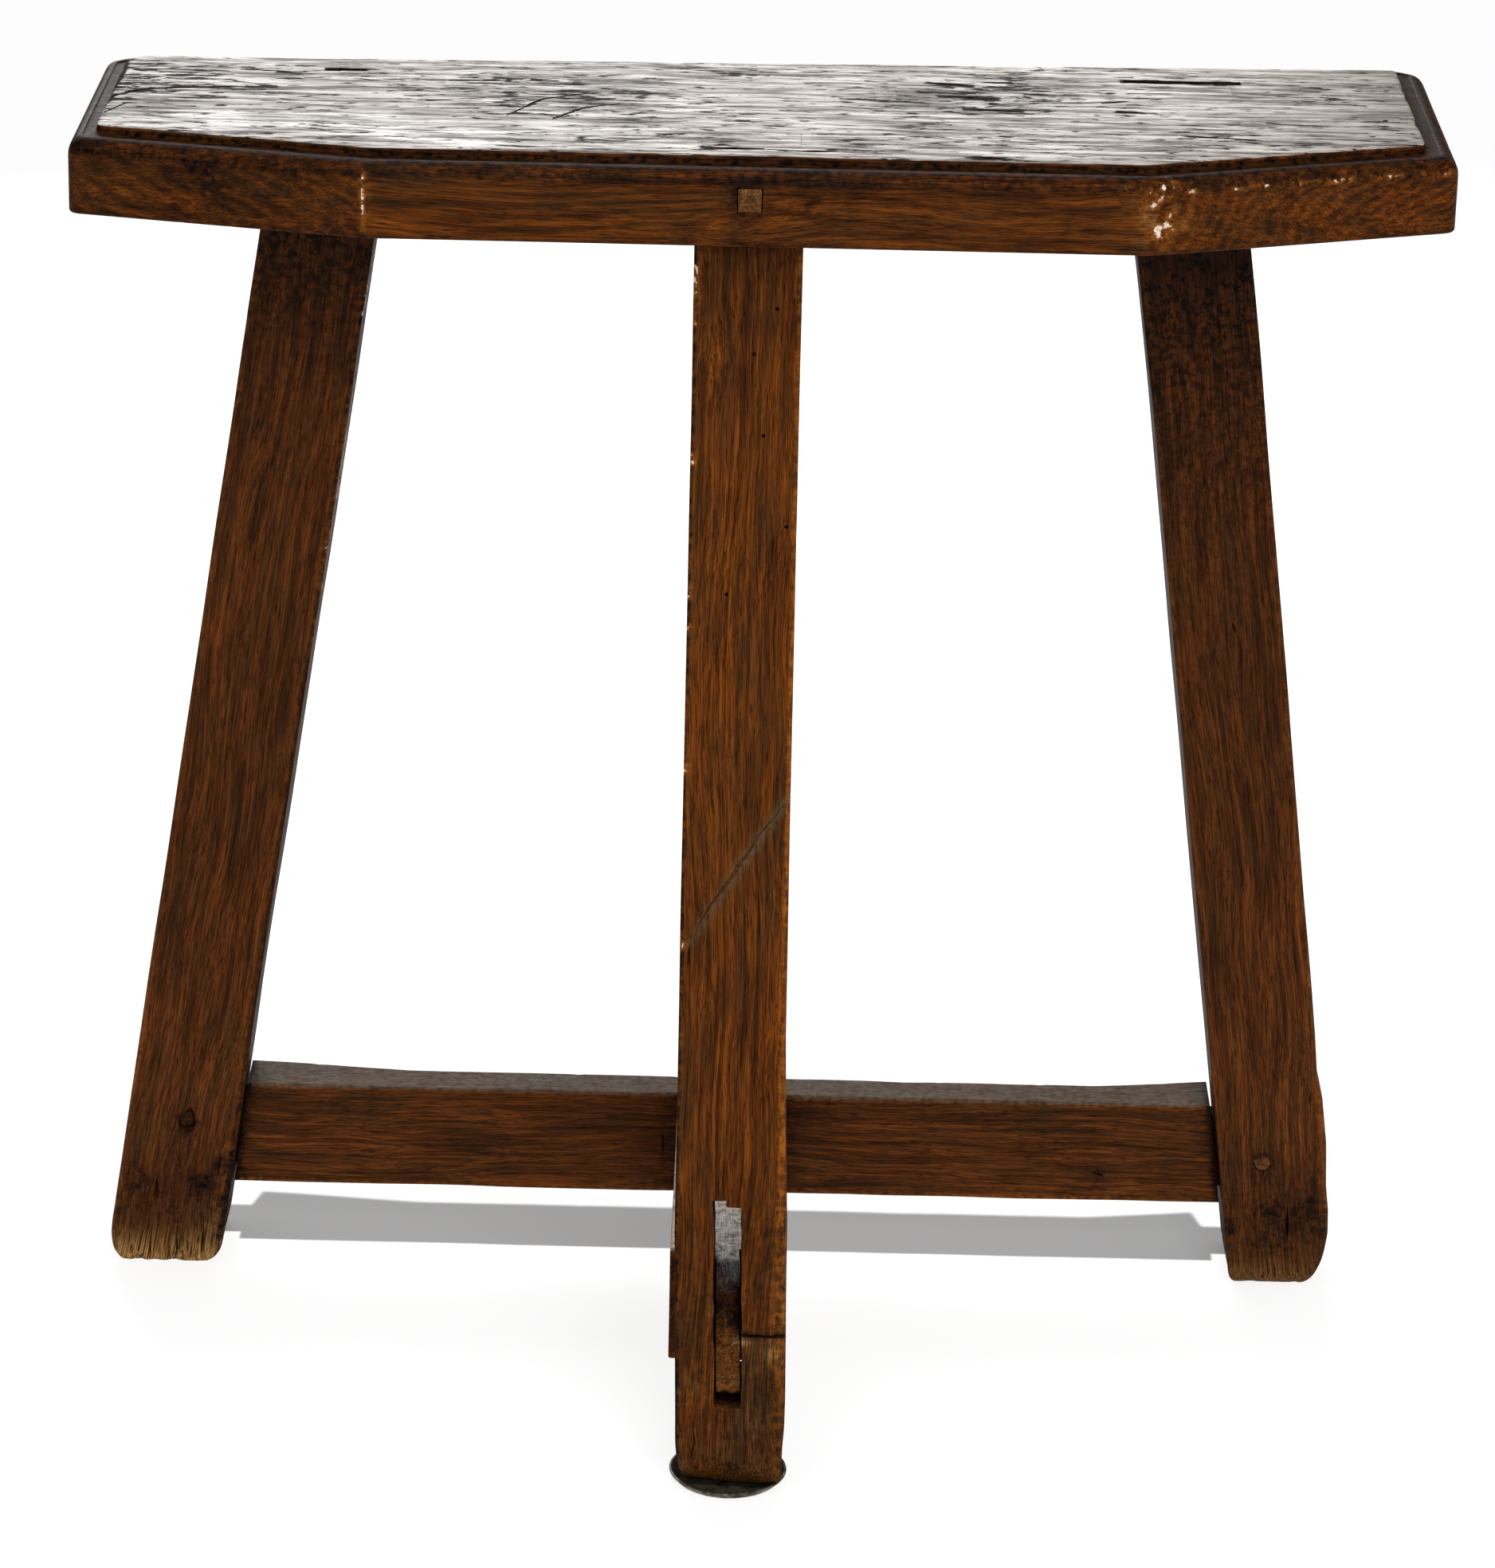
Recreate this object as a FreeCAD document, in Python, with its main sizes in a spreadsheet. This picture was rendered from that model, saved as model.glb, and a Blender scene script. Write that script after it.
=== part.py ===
import FreeCAD, Part
import math
import os
import Sketcher

# Work stool: a clipped and moulded seat plank on three splayed legs, with a rail between the rear legs
# and a second rail from it to the front leg. Millimetres, +X to the right, +Y to the back, +Z up, origin
# on the floor under the middle of the whole stool. Angles are in degrees.

SEAT_SIZES = {
    "seat_height": 658.0,
    "seat_thickness": 40.0,
    "seat_length": 660.0,
    "seat_depth_left": 205.0,
    "seat_depth_right": 237.0,
    "seat_centre_x": 4.95,
    "seat_front_y": -81.0,
    "left_clip_length": 142.0,
    "left_clip_depth": 33.0,
    "right_clip_length": 148.0,
    "right_clip_depth": 54.0,
    "back_clip_length": 12.0,
    "back_clip_depth": 10.0,
    "moulding_inset": 17.6,
    "quirk_depth": 3.5,
    "ovolo_radius": 8.8,
    "seat_arris": 2.0,
}

LEG_SIZES = {
    "front_leg_width": 52.0,
    "front_leg_depth": 52.5,
    "front_leg_off_middle": 6.8,
    "front_leg_from_front": 51.5,
    "front_lean_angle": -8.8,
    "rear_leg_width": 56.5,
    "rear_leg_depth": 57.0,
    "rear_legs_from_back": 31.1,
    "rear_lean_angle": 3.42,
    "left_leg_from_end": 115.0,
    "left_splay_angle": 8.86,
    "right_leg_from_end": 122.1,
    "right_splay_angle": -7.56,
    "leg_arris": 2.0,
    "rear_foot_end_radius": 32.0,
    "rear_foot_widening_share": 0.6,
}

JOINT_SIZES = {
    "joint_gap": 0.2,
    "tenon_thickness": 26.0,
    "tenon_side_shoulder": 2.5,
    "front_tenon_setback": 2.5,
    "left_tenon_setback": 2.5,
    "right_tenon_setback": 14.0,
    "stub_tenon_thickness": 14.0,
    "stub_tenon_height": 40.0,
    "stub_tenon_length": 40.0,
    "through_tenon_thickness": 13.3,
    "through_tenon_setback": 5.0,
    "through_tenon_rounding": 4.5,
    "open_mortise_top": 146.5,
    "back_tenon_height": 30.0,
}

RAIL_SIZES = {
    "rail_bottom": 45.0,
    "rail_height": 57.0,
    "rail_arris": 1.5,
    "rear_rail_setback": 11.5,
    "rear_rail_thickness": 23.4,
    "rear_rail_end_thickness": 33.0,
    "rear_rail_end_length": 22.0,
    "rear_rail_ramp_length": 38.0,
    "medial_rail_width": 57.0,
}

PEG_SIZES = {
    "square_peg_side": 11.0,
    "square_peg_proud": 2.0,
    "square_peg_tail": 10.0,
    "square_peg_drop": 17.2,
    "round_peg_diameter": 9.0,
    "round_peg_length": 48.0,
    "round_peg_proud": 0.8,
    "round_peg_to_shoulder": 24.0,
    "left_peg_height": 83.8,
    "right_peg_height": 74.3,
    "medial_peg_diameter": 7.0,
    "medial_peg_length": 46.0,
}

FOOT_SIZES = {
    "dish_radius": 29.3,
    "dish_base_radius": 25.5,
    "dish_height": 4.2,
    "dish_sheet": 1.3,
    "dish_bend_radius": 3.0,
    "dish_right_of_leg": 2.8,
    "dish_before_leg": 3.8,
    "front_foot_end_radius": 23.0,
    "front_foot_widening_share": 0.45,
    "repair_seam_offset": 1.0,
    "repair_height": 81.4,
    "nail_spacing": 22.0,
    "nail_diameter": 2.6,
    "nail_head_diameter": 5.2,
    "nail_point_length": 5.0,
    "nail_length": 28.0,
    "nail_tip_share": 0.25,
}

# How far tools and blanks run past what they cut or are cut by.
TOOL_SIZES = {"overrun": 20.0}

# What follows from the driving sizes, as formulas of the sheet.
DERIVED_SIZES = {
    "underside_height": "seat_height - seat_thickness",
    "field_height": "seat_height - quirk_depth",
    "seat_left_x": "seat_centre_x - seat_length / 2",
    "seat_right_x": "seat_centre_x + seat_length / 2",
    "seat_back_left_y": "seat_front_y + seat_depth_left",
    "seat_back_right_y": "seat_front_y + seat_depth_right",
    "back_slope": "(seat_depth_right - seat_depth_left) / seat_length",
    "rail_top": "rail_bottom + rail_height",
    "rail_middle": "rail_bottom + rail_height / 2",
    "left_slope": "tan(left_splay_angle * 1deg)",
    "right_slope": "tan(right_splay_angle * 1deg)",
    "front_slope": "-tan(front_lean_angle * 1deg)",
    "rear_slope": "tan(rear_lean_angle * 1deg)",
    "left_foot_x": "seat_left_x + left_leg_from_end - left_slope * underside_height",
    "right_foot_x": "seat_right_x - right_leg_from_end - right_slope * underside_height",
    "rear_foot_y": "seat_back_left_y - rear_legs_from_back + rear_slope * underside_height",
    "front_foot_x": "seat_centre_x - front_leg_off_middle",
    "front_foot_y": "seat_front_y + front_leg_from_front - front_slope * underside_height",
    "rear_half_depth": "rear_leg_depth / 2 / cos(rear_lean_angle * 1deg)",
    "rear_legs_front_y": "rear_foot_y - rear_slope * rail_middle - rear_half_depth",
    "rear_rail_front_y": "rear_legs_front_y + rear_rail_setback",
    "rear_rail_middle_y": "rear_rail_front_y + rear_rail_thickness / 2",
    "rear_rail_back_y": "rear_rail_front_y + rear_rail_end_thickness",
    "left_half_width": "rear_leg_width / 2 / cos(left_splay_angle * 1deg)",
    "right_half_width": "rear_leg_width / 2 / cos(right_splay_angle * 1deg)",
    "left_inner_x": "left_foot_x + left_half_width + joint_gap",
    "right_inner_x": "right_foot_x - right_half_width - joint_gap",
    "left_shoulder_x": "left_inner_x + left_slope * rail_middle",
    "right_shoulder_x": "right_inner_x + right_slope * rail_middle",
    "front_half_depth": "front_leg_depth / 2 / cos(front_lean_angle * 1deg)",
    "front_back_y": "front_foot_y + front_half_depth + joint_gap",
    "front_face_y": "front_foot_y - front_half_depth",
    "medial_shoulder_y": "front_back_y + front_slope * rail_middle",
    "open_mortise_width": "through_tenon_thickness + 2 * joint_gap",
    "open_mortise_bottom": "rail_bottom - joint_gap",
    "dish_x": "front_foot_x + dish_right_of_leg",
    "dish_y": "front_foot_y - dish_before_leg",
    "dish_slope": "(dish_radius - dish_base_radius) / dish_height",
    "dish_wall": "dish_sheet * sqrt(1 + dish_slope ^ 2)",
}

DRIVING_GROUPS = (SEAT_SIZES, LEG_SIZES, JOINT_SIZES, RAIL_SIZES, PEG_SIZES, FOOT_SIZES, TOOL_SIZES)
NAMES = {name for group in (*DRIVING_GROUPS, DERIVED_SIZES) for name in group}

doc = FreeCAD.newDocument("work_stool")
sheet = doc.addObject("Spreadsheet::Sheet", "Sizes")


def write_cell(row, alias, content):
    """Put a name and its content in one row of the sheet."""
    sheet.set(f"A{row}", alias)
    sheet.set(f"B{row}", content)
    sheet.setAlias(f"B{row}", alias)


def fill_sheet():
    """Write the driving sizes as plain numbers and the derived ones as formulas."""
    rows = {}
    for group in DRIVING_GROUPS:
        rows.update({alias: str(value) for alias, value in group.items()})
    rows.update({alias: "=" + formula for alias, formula in DERIVED_SIZES.items()})
    for index, (alias, content) in enumerate(rows.items()):
        write_cell(index + 1, alias, content)
    doc.recompute()


def size(formula):
    """Work out a formula of the sheet's names."""
    found = sheet.evalExpression(formula)
    return float(getattr(found, "Value", found))


def bind(item, prop, formula):
    """Bind a property to a formula of the sheet's names."""
    words = formula.replace("(", " ( ").replace(")", " ) ").split()
    item.setExpression(prop, " ".join(f"Sizes.{word}" if word in NAMES else word for word in words))


def placed(x, y, z, rotation=None):
    """Give a placement at a point."""
    return FreeCAD.Placement(FreeCAD.Vector(x, y, z), rotation or FreeCAD.Rotation())


def turned(x, y, z, angle):
    """Give a rotation about an axis."""
    return FreeCAD.Rotation(FreeCAD.Vector(x, y, z), angle)


def add_sketch(body, name, role, lift="0"):
    """Add a sketch parallel to one of the body's own origin planes, lifted off it by a formula."""
    sketch = body.newObject("Sketcher::SketchObject", name)
    plane = next(item for item in body.Origin.OriginFeatures if item.Role == role)
    sketch.AttachmentSupport = (plane, [""])
    sketch.MapMode = "FlatFace"
    bind(sketch, "AttachmentOffset.Base.z", lift)
    return sketch


def draw_outline(sketch, corners):
    """Draw a closed outline whose corners are pairs of formulas, and bind each corner to the sheet."""
    points = [FreeCAD.Vector(size(across), size(up), 0) for across, up in corners]
    count = len(points)
    for index, point in enumerate(points):
        sketch.addGeometry(Part.LineSegment(point, points[(index + 1) % count]), False)
    for index in range(count):
        sketch.addConstraint(Sketcher.Constraint("Coincident", index, 2, (index + 1) % count, 1))
    for index, corner in enumerate(corners):
        for kind, axis, formula in (("DistanceX", -2, corner[0]), ("DistanceY", -1, corner[1])):
            if formula == "0":
                sketch.addConstraint(Sketcher.Constraint("PointOnObject", index, 1, axis))
            else:
                added = sketch.addConstraint(Sketcher.Constraint(kind, -1, 1, index, 1, size(formula)))
                bind(sketch, f"Constraints[{added}]", formula)


def draw_rectangle(sketch, width, depth):
    """Draw a rectangle centred on the sketch's origin."""
    across, up = f"{width} / 2", f"{depth} / 2"
    draw_outline(sketch, [(f"- {across}", f"- {up}"), (across, f"- {up}"), (across, up), (f"- {across}", up)])


def add_pad(body, sketch, name, length, side="One side"):
    """Pad a sketch by a formula."""
    pad = body.newObject("PartDesign::Pad", name)
    pad.Profile = sketch
    pad.SideType = side
    bind(pad, "Length", length)
    doc.recompute()
    return pad


def add_fillet(body, base, name, radius, choose):
    """Fillet the edges of a feature that a test picks."""
    edges = [f"Edge{index + 1}" for index, edge in enumerate(base.Shape.Edges) if choose(edge)]
    fillet = body.newObject("PartDesign::Fillet", name)
    fillet.Base = (base, edges)
    bind(fillet, "Radius", radius)
    doc.recompute()
    return fillet


def add_primitive(kind, name, placement, **formulas):
    """Add a primitive of the Part workbench whose sizes are formulas."""
    item = doc.addObject(kind, name)
    for prop, formula in formulas.items():
        bind(item, prop, formula)
    item.Placement = placement
    return item


def add_box(name, placement, length, width, height):
    """Add a box."""
    return add_primitive("Part::Box", name, placement, Length=length, Width=width, Height=height)


def add_cylinder(name, placement, diameter, height):
    """Add a cylinder."""
    return add_primitive("Part::Cylinder", name, placement, Radius=f"( {diameter} ) / 2", Height=height)


def add_cone(name, placement, low_diameter, high_diameter, height):
    """Add the frustum of a cone."""
    low, high = f"( {low_diameter} ) / 2", f"( {high_diameter} ) / 2"
    return add_primitive("Part::Cone", name, placement, Radius1=low, Radius2=high, Height=height)


def fuse(name, shapes):
    """Join several objects."""
    result = doc.addObject("Part::MultiFuse", name)
    result.Shapes = shapes
    doc.recompute()
    return result


def combine(kind, name, base, tools):
    """Cut some tools from a base, or keep what they share with it."""
    result = doc.addObject(f"Part::{kind}", name)
    result.Base = base
    result.Tool = tools[0] if len(tools) == 1 else fuse(f"{name}_tools", tools)
    doc.recompute()
    return result


def group_solids(name, links):
    """Hold several separate solids as one sub-part."""
    result = doc.addObject("Part::Compound", name)
    result.Links = links
    doc.recompute()
    return result


def at_height(height):
    """Make a test for level edges at a height."""
    slack = size("joint_gap") / 2
    return lambda edge: height - slack < edge.BoundBox.ZMin and edge.BoundBox.ZMax < height + slack


def rising(edge):
    """Say whether an edge runs along the leg rather than across it."""
    return edge.BoundBox.ZLength > edge.BoundBox.XLength + edge.BoundBox.YLength


def level_slab(name, low, high):
    """Add a level slab, wider than the stool, between two heights."""
    corner = placed(-size("seat_length"), -size("seat_length"), size(low))
    return add_box(name, corner, "2 * seat_length", "2 * seat_length", f"{high} - ( {low} )")


def seat_back_y(x):
    """Give the seat's back edge at a place along it."""
    return size("seat_back_left_y") + (x - size("seat_left_x")) * size("back_slope")


class Leg:
    """One leg: where it stands, how it leans, and the faces that the seat, rails and pegs meet."""

    def __init__(self, name, kind, foot_x, splay_angle, setback, foot_height, paring_middle):
        self.name = name
        self.width = f"{kind}_leg_width"
        self.depth = f"{kind}_leg_depth"
        self.setback = setback
        self.foot_height = foot_height
        self.paring_middle = paring_middle
        self.paring_radius = f"{kind}_foot_end_radius"
        self.widening = f"{kind}_foot_widening_share"
        self.foot = FreeCAD.Vector(size(foot_x), size(f"{kind}_foot_y"), 0)
        self.rotation = turned(0, 1, 0, size(splay_angle)) * turned(1, 0, 0, size(f"{kind}_lean_angle"))

    def placement(self, x=0, y=0, z=0):
        """Give the placement of a point of the leg's own frame, whose Z runs up the leg."""
        return FreeCAD.Placement(self.foot + self.rotation.multVec(FreeCAD.Vector(x, y, z)), self.rotation)

    def tenon_middle(self, height):
        """Give the middle of the seat tenon at a height."""
        along = self.rotation.multVec(FreeCAD.Vector(0, 0, 1))
        offset = size(f"{self.setback} + tenon_thickness / 2 - {self.depth} / 2")
        return self.foot + along * (height / along.z) + self.rotation.multVec(FreeCAD.Vector(0, offset, 0))

    def front_face_y(self, x, height):
        """Give the leg's front face at a place across it and a height."""
        outward = self.rotation.multVec(FreeCAD.Vector(0, -1, 0))
        beside = outward.x * (x - self.foot.x) + outward.z * height
        return self.foot.y + (size(f"{self.depth} / 2") - beside) / outward.y

    def stock(self):
        """Make the squared timber with eased arrises."""
        body = doc.addObject("PartDesign::Body", f"{self.name}_stock")
        section = add_sketch(body, f"{self.name}_section", "XY_Plane", "- overrun")
        draw_rectangle(section, self.width, self.depth)
        pad = add_pad(body, section, f"{self.name}_length", "seat_height + 3 * overrun")
        add_fillet(body, pad, f"{self.name}_arrises", "leg_arris", rising)
        body.Placement = self.placement()
        return body

    def foot_cone(self):
        """Make the upright cone that a worn or pared foot keeps within."""
        middle_x, middle_y = self.paring_middle
        middle = placed(size(middle_x), size(middle_y), size(self.foot_height))
        widest = f"{self.paring_radius} + {self.widening} * seat_height"
        return add_cone(f"{self.name}_foot_cone", middle, f"2 * {self.paring_radius}", f"2 * ( {widest} )",
                        "seat_height")

    def tenon_bar(self, name, gap):
        """Make the bar that the seat tenon is cut from, or, with a gap round it, the seat's mortise."""
        corner = self.placement(
            -size(f"{self.width} / 2 - tenon_side_shoulder + {gap}"),
            -size(f"{self.depth} / 2 - {self.setback} + {gap}"),
            size("underside_height - overrun"),
        )
        width = f"{self.width} - 2 * tenon_side_shoulder + 2 * {gap}"
        return add_box(f"{self.name}_{name}", corner, width, f"tenon_thickness + 2 * {gap}",
                       "seat_thickness + 3 * overrun")

    def whole(self):
        """Make the leg with level foot and shoulder and a tenon flush with the seat's top."""
        slab = level_slab(f"{self.name}_shank_slab", self.foot_height, "underside_height")
        length = combine("Common", f"{self.name}_level_ends", self.stock(), [slab])
        shank = combine("Common", f"{self.name}_shank", length, [self.foot_cone()])
        tenon_slab = level_slab(f"{self.name}_tenon_slab", "underside_height - overrun / 2", "seat_height")
        tenon = combine("Common", f"{self.name}_tenon", self.tenon_bar("tenon_bar", "0"), [tenon_slab])
        return fuse(f"{self.name}_blank", [shank, tenon])


def square_peg(leg, name, from_back):
    """Make a square peg driven level through the seat's edge and a leg's tenon, and the hole for it."""
    height = size("seat_height - square_peg_drop")
    middle = leg.tenon_middle(height)
    tail = size("tenon_thickness / 2 + square_peg_tail")
    if from_back:
        ends = (middle.y - tail, seat_back_y(middle.x) + size("square_peg_proud"))
    else:
        ends = (size("seat_front_y - square_peg_proud"), middle.y + tail)
    pair = []
    for item, gap in ((name, "0"), (f"{name}_hole", "joint_gap")):
        side = f"square_peg_side + 2 * {gap}"
        back_off = size(f"square_peg_side / 2 + {gap}")
        corner = placed(middle.x - back_off, ends[0] - size(gap), height - back_off)
        box = add_primitive("Part::Box", item, corner, Length=side, Height=side)
        box.Width = ends[1] - ends[0] + 2 * size(gap)
        pair.append(box)
    doc.recompute()
    return pair


def peg_and_hole(name, placement, diameter, length):
    """Make a round peg and the hole for it, which start at the same end."""
    peg = add_cylinder(name, placement, diameter, length)
    hole = add_cylinder(f"{name}_hole", placement, f"{diameter} + 2 * joint_gap", f"{length} + joint_gap")
    doc.recompute()
    return peg, hole


def rail_peg(leg, name, across, height):
    """Make the round peg driven from the front through a rear leg and the rail's stub tenon."""
    x = size(across)
    y = leg.front_face_y(x, size(height)) - size("round_peg_proud")
    start = placed(x, y, size(height), turned(1, 0, 0, -90))
    return peg_and_hole(name, start, "round_peg_diameter", "round_peg_length + round_peg_proud")


def medial_peg():
    """Make the round peg driven down through the rear rail and the medial rail's back tenon."""
    top = size("rail_top + round_peg_proud")
    start = placed(size("front_foot_x"), size("rear_rail_middle_y"), top, turned(1, 0, 0, 180))
    return peg_and_hole("medial_rail_peg", start, "medial_peg_diameter", "medial_peg_length")


def make_seat(legs, peg_holes):
    """Make the plank: clipped outline, ovolo below the raised field, mortises and peg holes."""
    body = doc.addObject("PartDesign::Body", "plank_body")
    outline = add_sketch(body, "plank_outline", "XY_Plane", "underside_height")
    draw_outline(outline, [
        ("seat_left_x + left_clip_length", "seat_front_y"),
        ("seat_right_x - right_clip_length", "seat_front_y"),
        ("seat_right_x", "seat_front_y + right_clip_depth"),
        ("seat_right_x", "seat_back_right_y - back_clip_depth"),
        ("seat_right_x - back_clip_length", "seat_back_right_y - back_clip_length * back_slope"),
        ("seat_left_x + back_clip_length", "seat_back_left_y + back_clip_length * back_slope"),
        ("seat_left_x", "seat_back_left_y - back_clip_depth"),
        ("seat_left_x", "seat_front_y + left_clip_depth"),
    ])
    plank = add_pad(body, outline, "plank_below_quirk", "seat_thickness - quirk_depth")
    ovolo = add_fillet(body, plank, "ovolo", "ovolo_radius", at_height(size("field_height")))
    add_fillet(body, ovolo, "lower_arris", "seat_arris", at_height(size("underside_height")))
    blank = fuse("plank_blank", [body, raised_field(outline)])
    mortises = [leg.tenon_bar("mortise_bar", "joint_gap") for leg in legs]
    return combine("Cut", "seat_plank", blank, mortises + peg_holes)


def raised_field(outline):
    """Make the plank's field, inset from its outline by the moulding, up to the seat's top."""
    inset = doc.addObject("Part::Offset2D", "field_outline")
    inset.Source = outline
    inset.Join = "Intersection"
    bind(inset, "Value", "- moulding_inset")
    field = doc.addObject("Part::Extrusion", "raised_field")
    field.Base = inset
    field.DirMode = "Custom"
    field.Dir = FreeCAD.Vector(0, 0, 1)
    field.Solid = True
    bind(field, "LengthFwd", "seat_thickness")
    doc.recompute()
    return field


def stub_tenon(name, side, gap):
    """Make a stub tenon of the rear rail, or, with a gap round it, the mortise in a rear leg."""
    half_thickness = size(f"stub_tenon_thickness / 2 + {gap}")
    half_height = size(f"stub_tenon_height / 2 + {gap}")
    if side == "left":
        low_x = size(f"left_shoulder_x - stub_tenon_length - {gap}")
    else:
        low_x = size("right_shoulder_x - overrun")
    corner = placed(low_x, size("rear_rail_middle_y") - half_thickness, size("rail_middle") - half_height)
    return add_box(name, corner, f"stub_tenon_length + overrun + {gap}",
                   f"stub_tenon_thickness + 2 * {gap}", f"stub_tenon_height + 2 * {gap}")


def back_tenon(name, gap):
    """Make the medial rail's tenon through the rear rail, or, with a gap round it, the mortise."""
    half_thickness = size(f"through_tenon_thickness / 2 + {gap}")
    half_height = size(f"back_tenon_height / 2 + {gap}")
    corner = placed(size("front_foot_x") - half_thickness, size("rear_rail_front_y - overrun"),
                    size("rail_middle") - half_height)
    return add_box(name, corner, f"through_tenon_thickness + 2 * {gap}",
                   f"overrun + rear_rail_thickness + 2 * {gap}", f"back_tenon_height + 2 * {gap}")


def make_rear_rail(cuts):
    """Make the rear rail: shoulders that follow the splayed legs, thinned back, two stub tenons."""
    body = doc.addObject("PartDesign::Body", "rear_rail_body")
    elevation = add_sketch(body, "rear_rail_elevation", "XZ_Plane", "- rear_rail_back_y")
    draw_outline(elevation, [
        ("left_inner_x + left_slope * rail_bottom", "rail_bottom"),
        ("right_inner_x + right_slope * rail_bottom", "rail_bottom"),
        ("right_inner_x + right_slope * rail_top", "rail_top"),
        ("left_inner_x + left_slope * rail_top", "rail_top"),
    ])
    rail = add_pad(body, elevation, "rear_rail_blank", "rear_rail_end_thickness")
    plan = add_sketch(body, "rear_rail_plan", "XY_Plane", "rail_top + overrun")
    ramp = "rear_rail_end_length + rear_rail_ramp_length"
    thin_y = "rear_rail_front_y + rear_rail_thickness"
    draw_outline(plan, [
        ("left_shoulder_x + rear_rail_end_length", "rear_rail_back_y"),
        (f"left_shoulder_x + {ramp}", thin_y),
        (f"right_shoulder_x - ( {ramp} )", thin_y),
        ("right_shoulder_x - rear_rail_end_length", "rear_rail_back_y"),
        ("right_shoulder_x - rear_rail_end_length", "rear_rail_back_y + overrun"),
        ("left_shoulder_x + rear_rail_end_length", "rear_rail_back_y + overrun"),
    ])
    hollow = body.newObject("PartDesign::Pocket", "rear_rail_thinning")
    hollow.Profile = plan
    bind(hollow, "Length", "rail_height + 2 * overrun")
    doc.recompute()
    if hollow.Shape.Volume >= rail.Shape.Volume:
        raise RuntimeError("the rear rail's thinning removed nothing")
    front_y = size("rear_rail_front_y + joint_gap")
    add_fillet(body, hollow, "rear_rail_arrises", "rail_arris",
               lambda edge: edge.BoundBox.YMax < front_y and edge.BoundBox.XLength > edge.BoundBox.ZLength)
    tenons = [stub_tenon(f"{side}_stub_tenon", side, "0") for side in ("left", "right")]
    blank = fuse("rear_rail_with_tenons", [body] + tenons)
    return combine("Cut", "rear_stretcher", blank, cuts)


def medial_part(name, corners, width):
    """Make a piece of the medial rail from its side elevation."""
    body = doc.addObject("PartDesign::Body", f"{name}_body")
    elevation = add_sketch(body, f"{name}_elevation", "YZ_Plane", "front_foot_x")
    draw_outline(elevation, corners)
    pad = add_pad(body, elevation, f"{name}_blank", width, "Symmetric")
    return body, pad


def make_medial_rail(cuts):
    """Make the medial rail: sloped front shoulder, thin tenon through the front leg, tenon behind."""
    rail, blank = medial_part("medial_rail", [
        ("front_back_y + front_slope * rail_bottom", "rail_bottom"),
        ("rear_rail_front_y - joint_gap", "rail_bottom"),
        ("rear_rail_front_y - joint_gap", "rail_top"),
        ("front_back_y + front_slope * rail_top", "rail_top"),
    ], "medial_rail_width")
    add_fillet(rail, blank, "medial_rail_arrises", "rail_arris",
               lambda edge: edge.BoundBox.YLength > edge.BoundBox.XLength + edge.BoundBox.ZLength)
    tenon, bar = medial_part("front_tenon", [
        ("front_face_y + through_tenon_setback + front_slope * rail_bottom", "rail_bottom"),
        ("medial_shoulder_y + overrun", "rail_bottom"),
        ("medial_shoulder_y + overrun", "rail_top"),
        ("front_face_y + through_tenon_setback + front_slope * rail_top", "rail_top"),
    ], "through_tenon_thickness")
    top, middle_x = size("rail_top - joint_gap"), size("front_foot_x")
    add_fillet(tenon, bar, "worn_tenon_corner", "through_tenon_rounding",
               lambda edge: edge.BoundBox.ZMin > top and edge.BoundBox.XMin > middle_x)
    joined = fuse("medial_rail_with_tenons", [rail, tenon, back_tenon("back_tenon", "0")])
    return combine("Cut", "medial_stretcher", joined, cuts)


def make_dish(cuts):
    """Make the dished metal glide: a flat base turned up into a sloping wall."""
    body = doc.addObject("PartDesign::Body", "dish_body")
    profile = add_sketch(body, "dish_profile", "XZ_Plane")
    draw_outline(profile, [
        ("0", "0"),
        ("dish_base_radius", "0"),
        ("dish_radius", "dish_height"),
        ("dish_radius - dish_wall", "dish_height"),
        ("dish_base_radius - dish_wall + dish_slope * dish_sheet", "dish_sheet"),
        ("0", "dish_sheet"),
    ])
    turn = body.newObject("PartDesign::Revolution", "dish_turning")
    turn.Profile = profile
    turn.ReferenceAxis = (profile, ["V_Axis"])
    turn.Angle = 360
    doc.recompute()
    add_fillet(body, turn, "outer_bend", "dish_bend_radius", at_height(0))
    body.Placement = placed(size("dish_x"), size("dish_y"), 0)
    return combine("Cut", "foot_dish", body, cuts)


def make_nails():
    """Make the two nails that hold the dish, one on each side of the foot's seam, and their holes."""
    nails, holes = [], []
    for side, offset in (("left", "- nail_spacing / 2"), ("right", "nail_spacing / 2")):
        x, y = size(f"dish_x + {offset}"), size("dish_y")
        for gap, found in (("0", nails), ("joint_gap", holes)):
            name = f"{side}_nail" if gap == "0" else f"{side}_nail_hole"
            low, length = size(f"joint_gap - {gap}"), f"nail_length + 2 * {gap}"
            shank = f"nail_diameter + 2 * {gap}"
            found.append(fuse(name, [
                add_cone(f"{name}_head", placed(x, y, low), f"nail_head_diameter + 4 * {gap}",
                         f"nail_diameter + 4 * {gap}", "dish_sheet"),
                add_cylinder(f"{name}_shank", placed(x, y, low), shank, length),
                add_cone(f"{name}_point", placed(x, y, low + size(length)), shank,
                         f"( {shank} ) * nail_tip_share", "nail_point_length"),
            ]))
    return group_solids("foot_dish_nails", nails), holes


def repair_space(name, gap):
    """Make the space that the repair block takes at the right of the front foot."""
    corner = placed(size(f"front_foot_x + repair_seam_offset + {gap}"), -size("seat_length"), -size("overrun"))
    return add_box(name, corner, "front_leg_width", "2 * seat_length", f"repair_height + overrun - {gap}")


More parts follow.
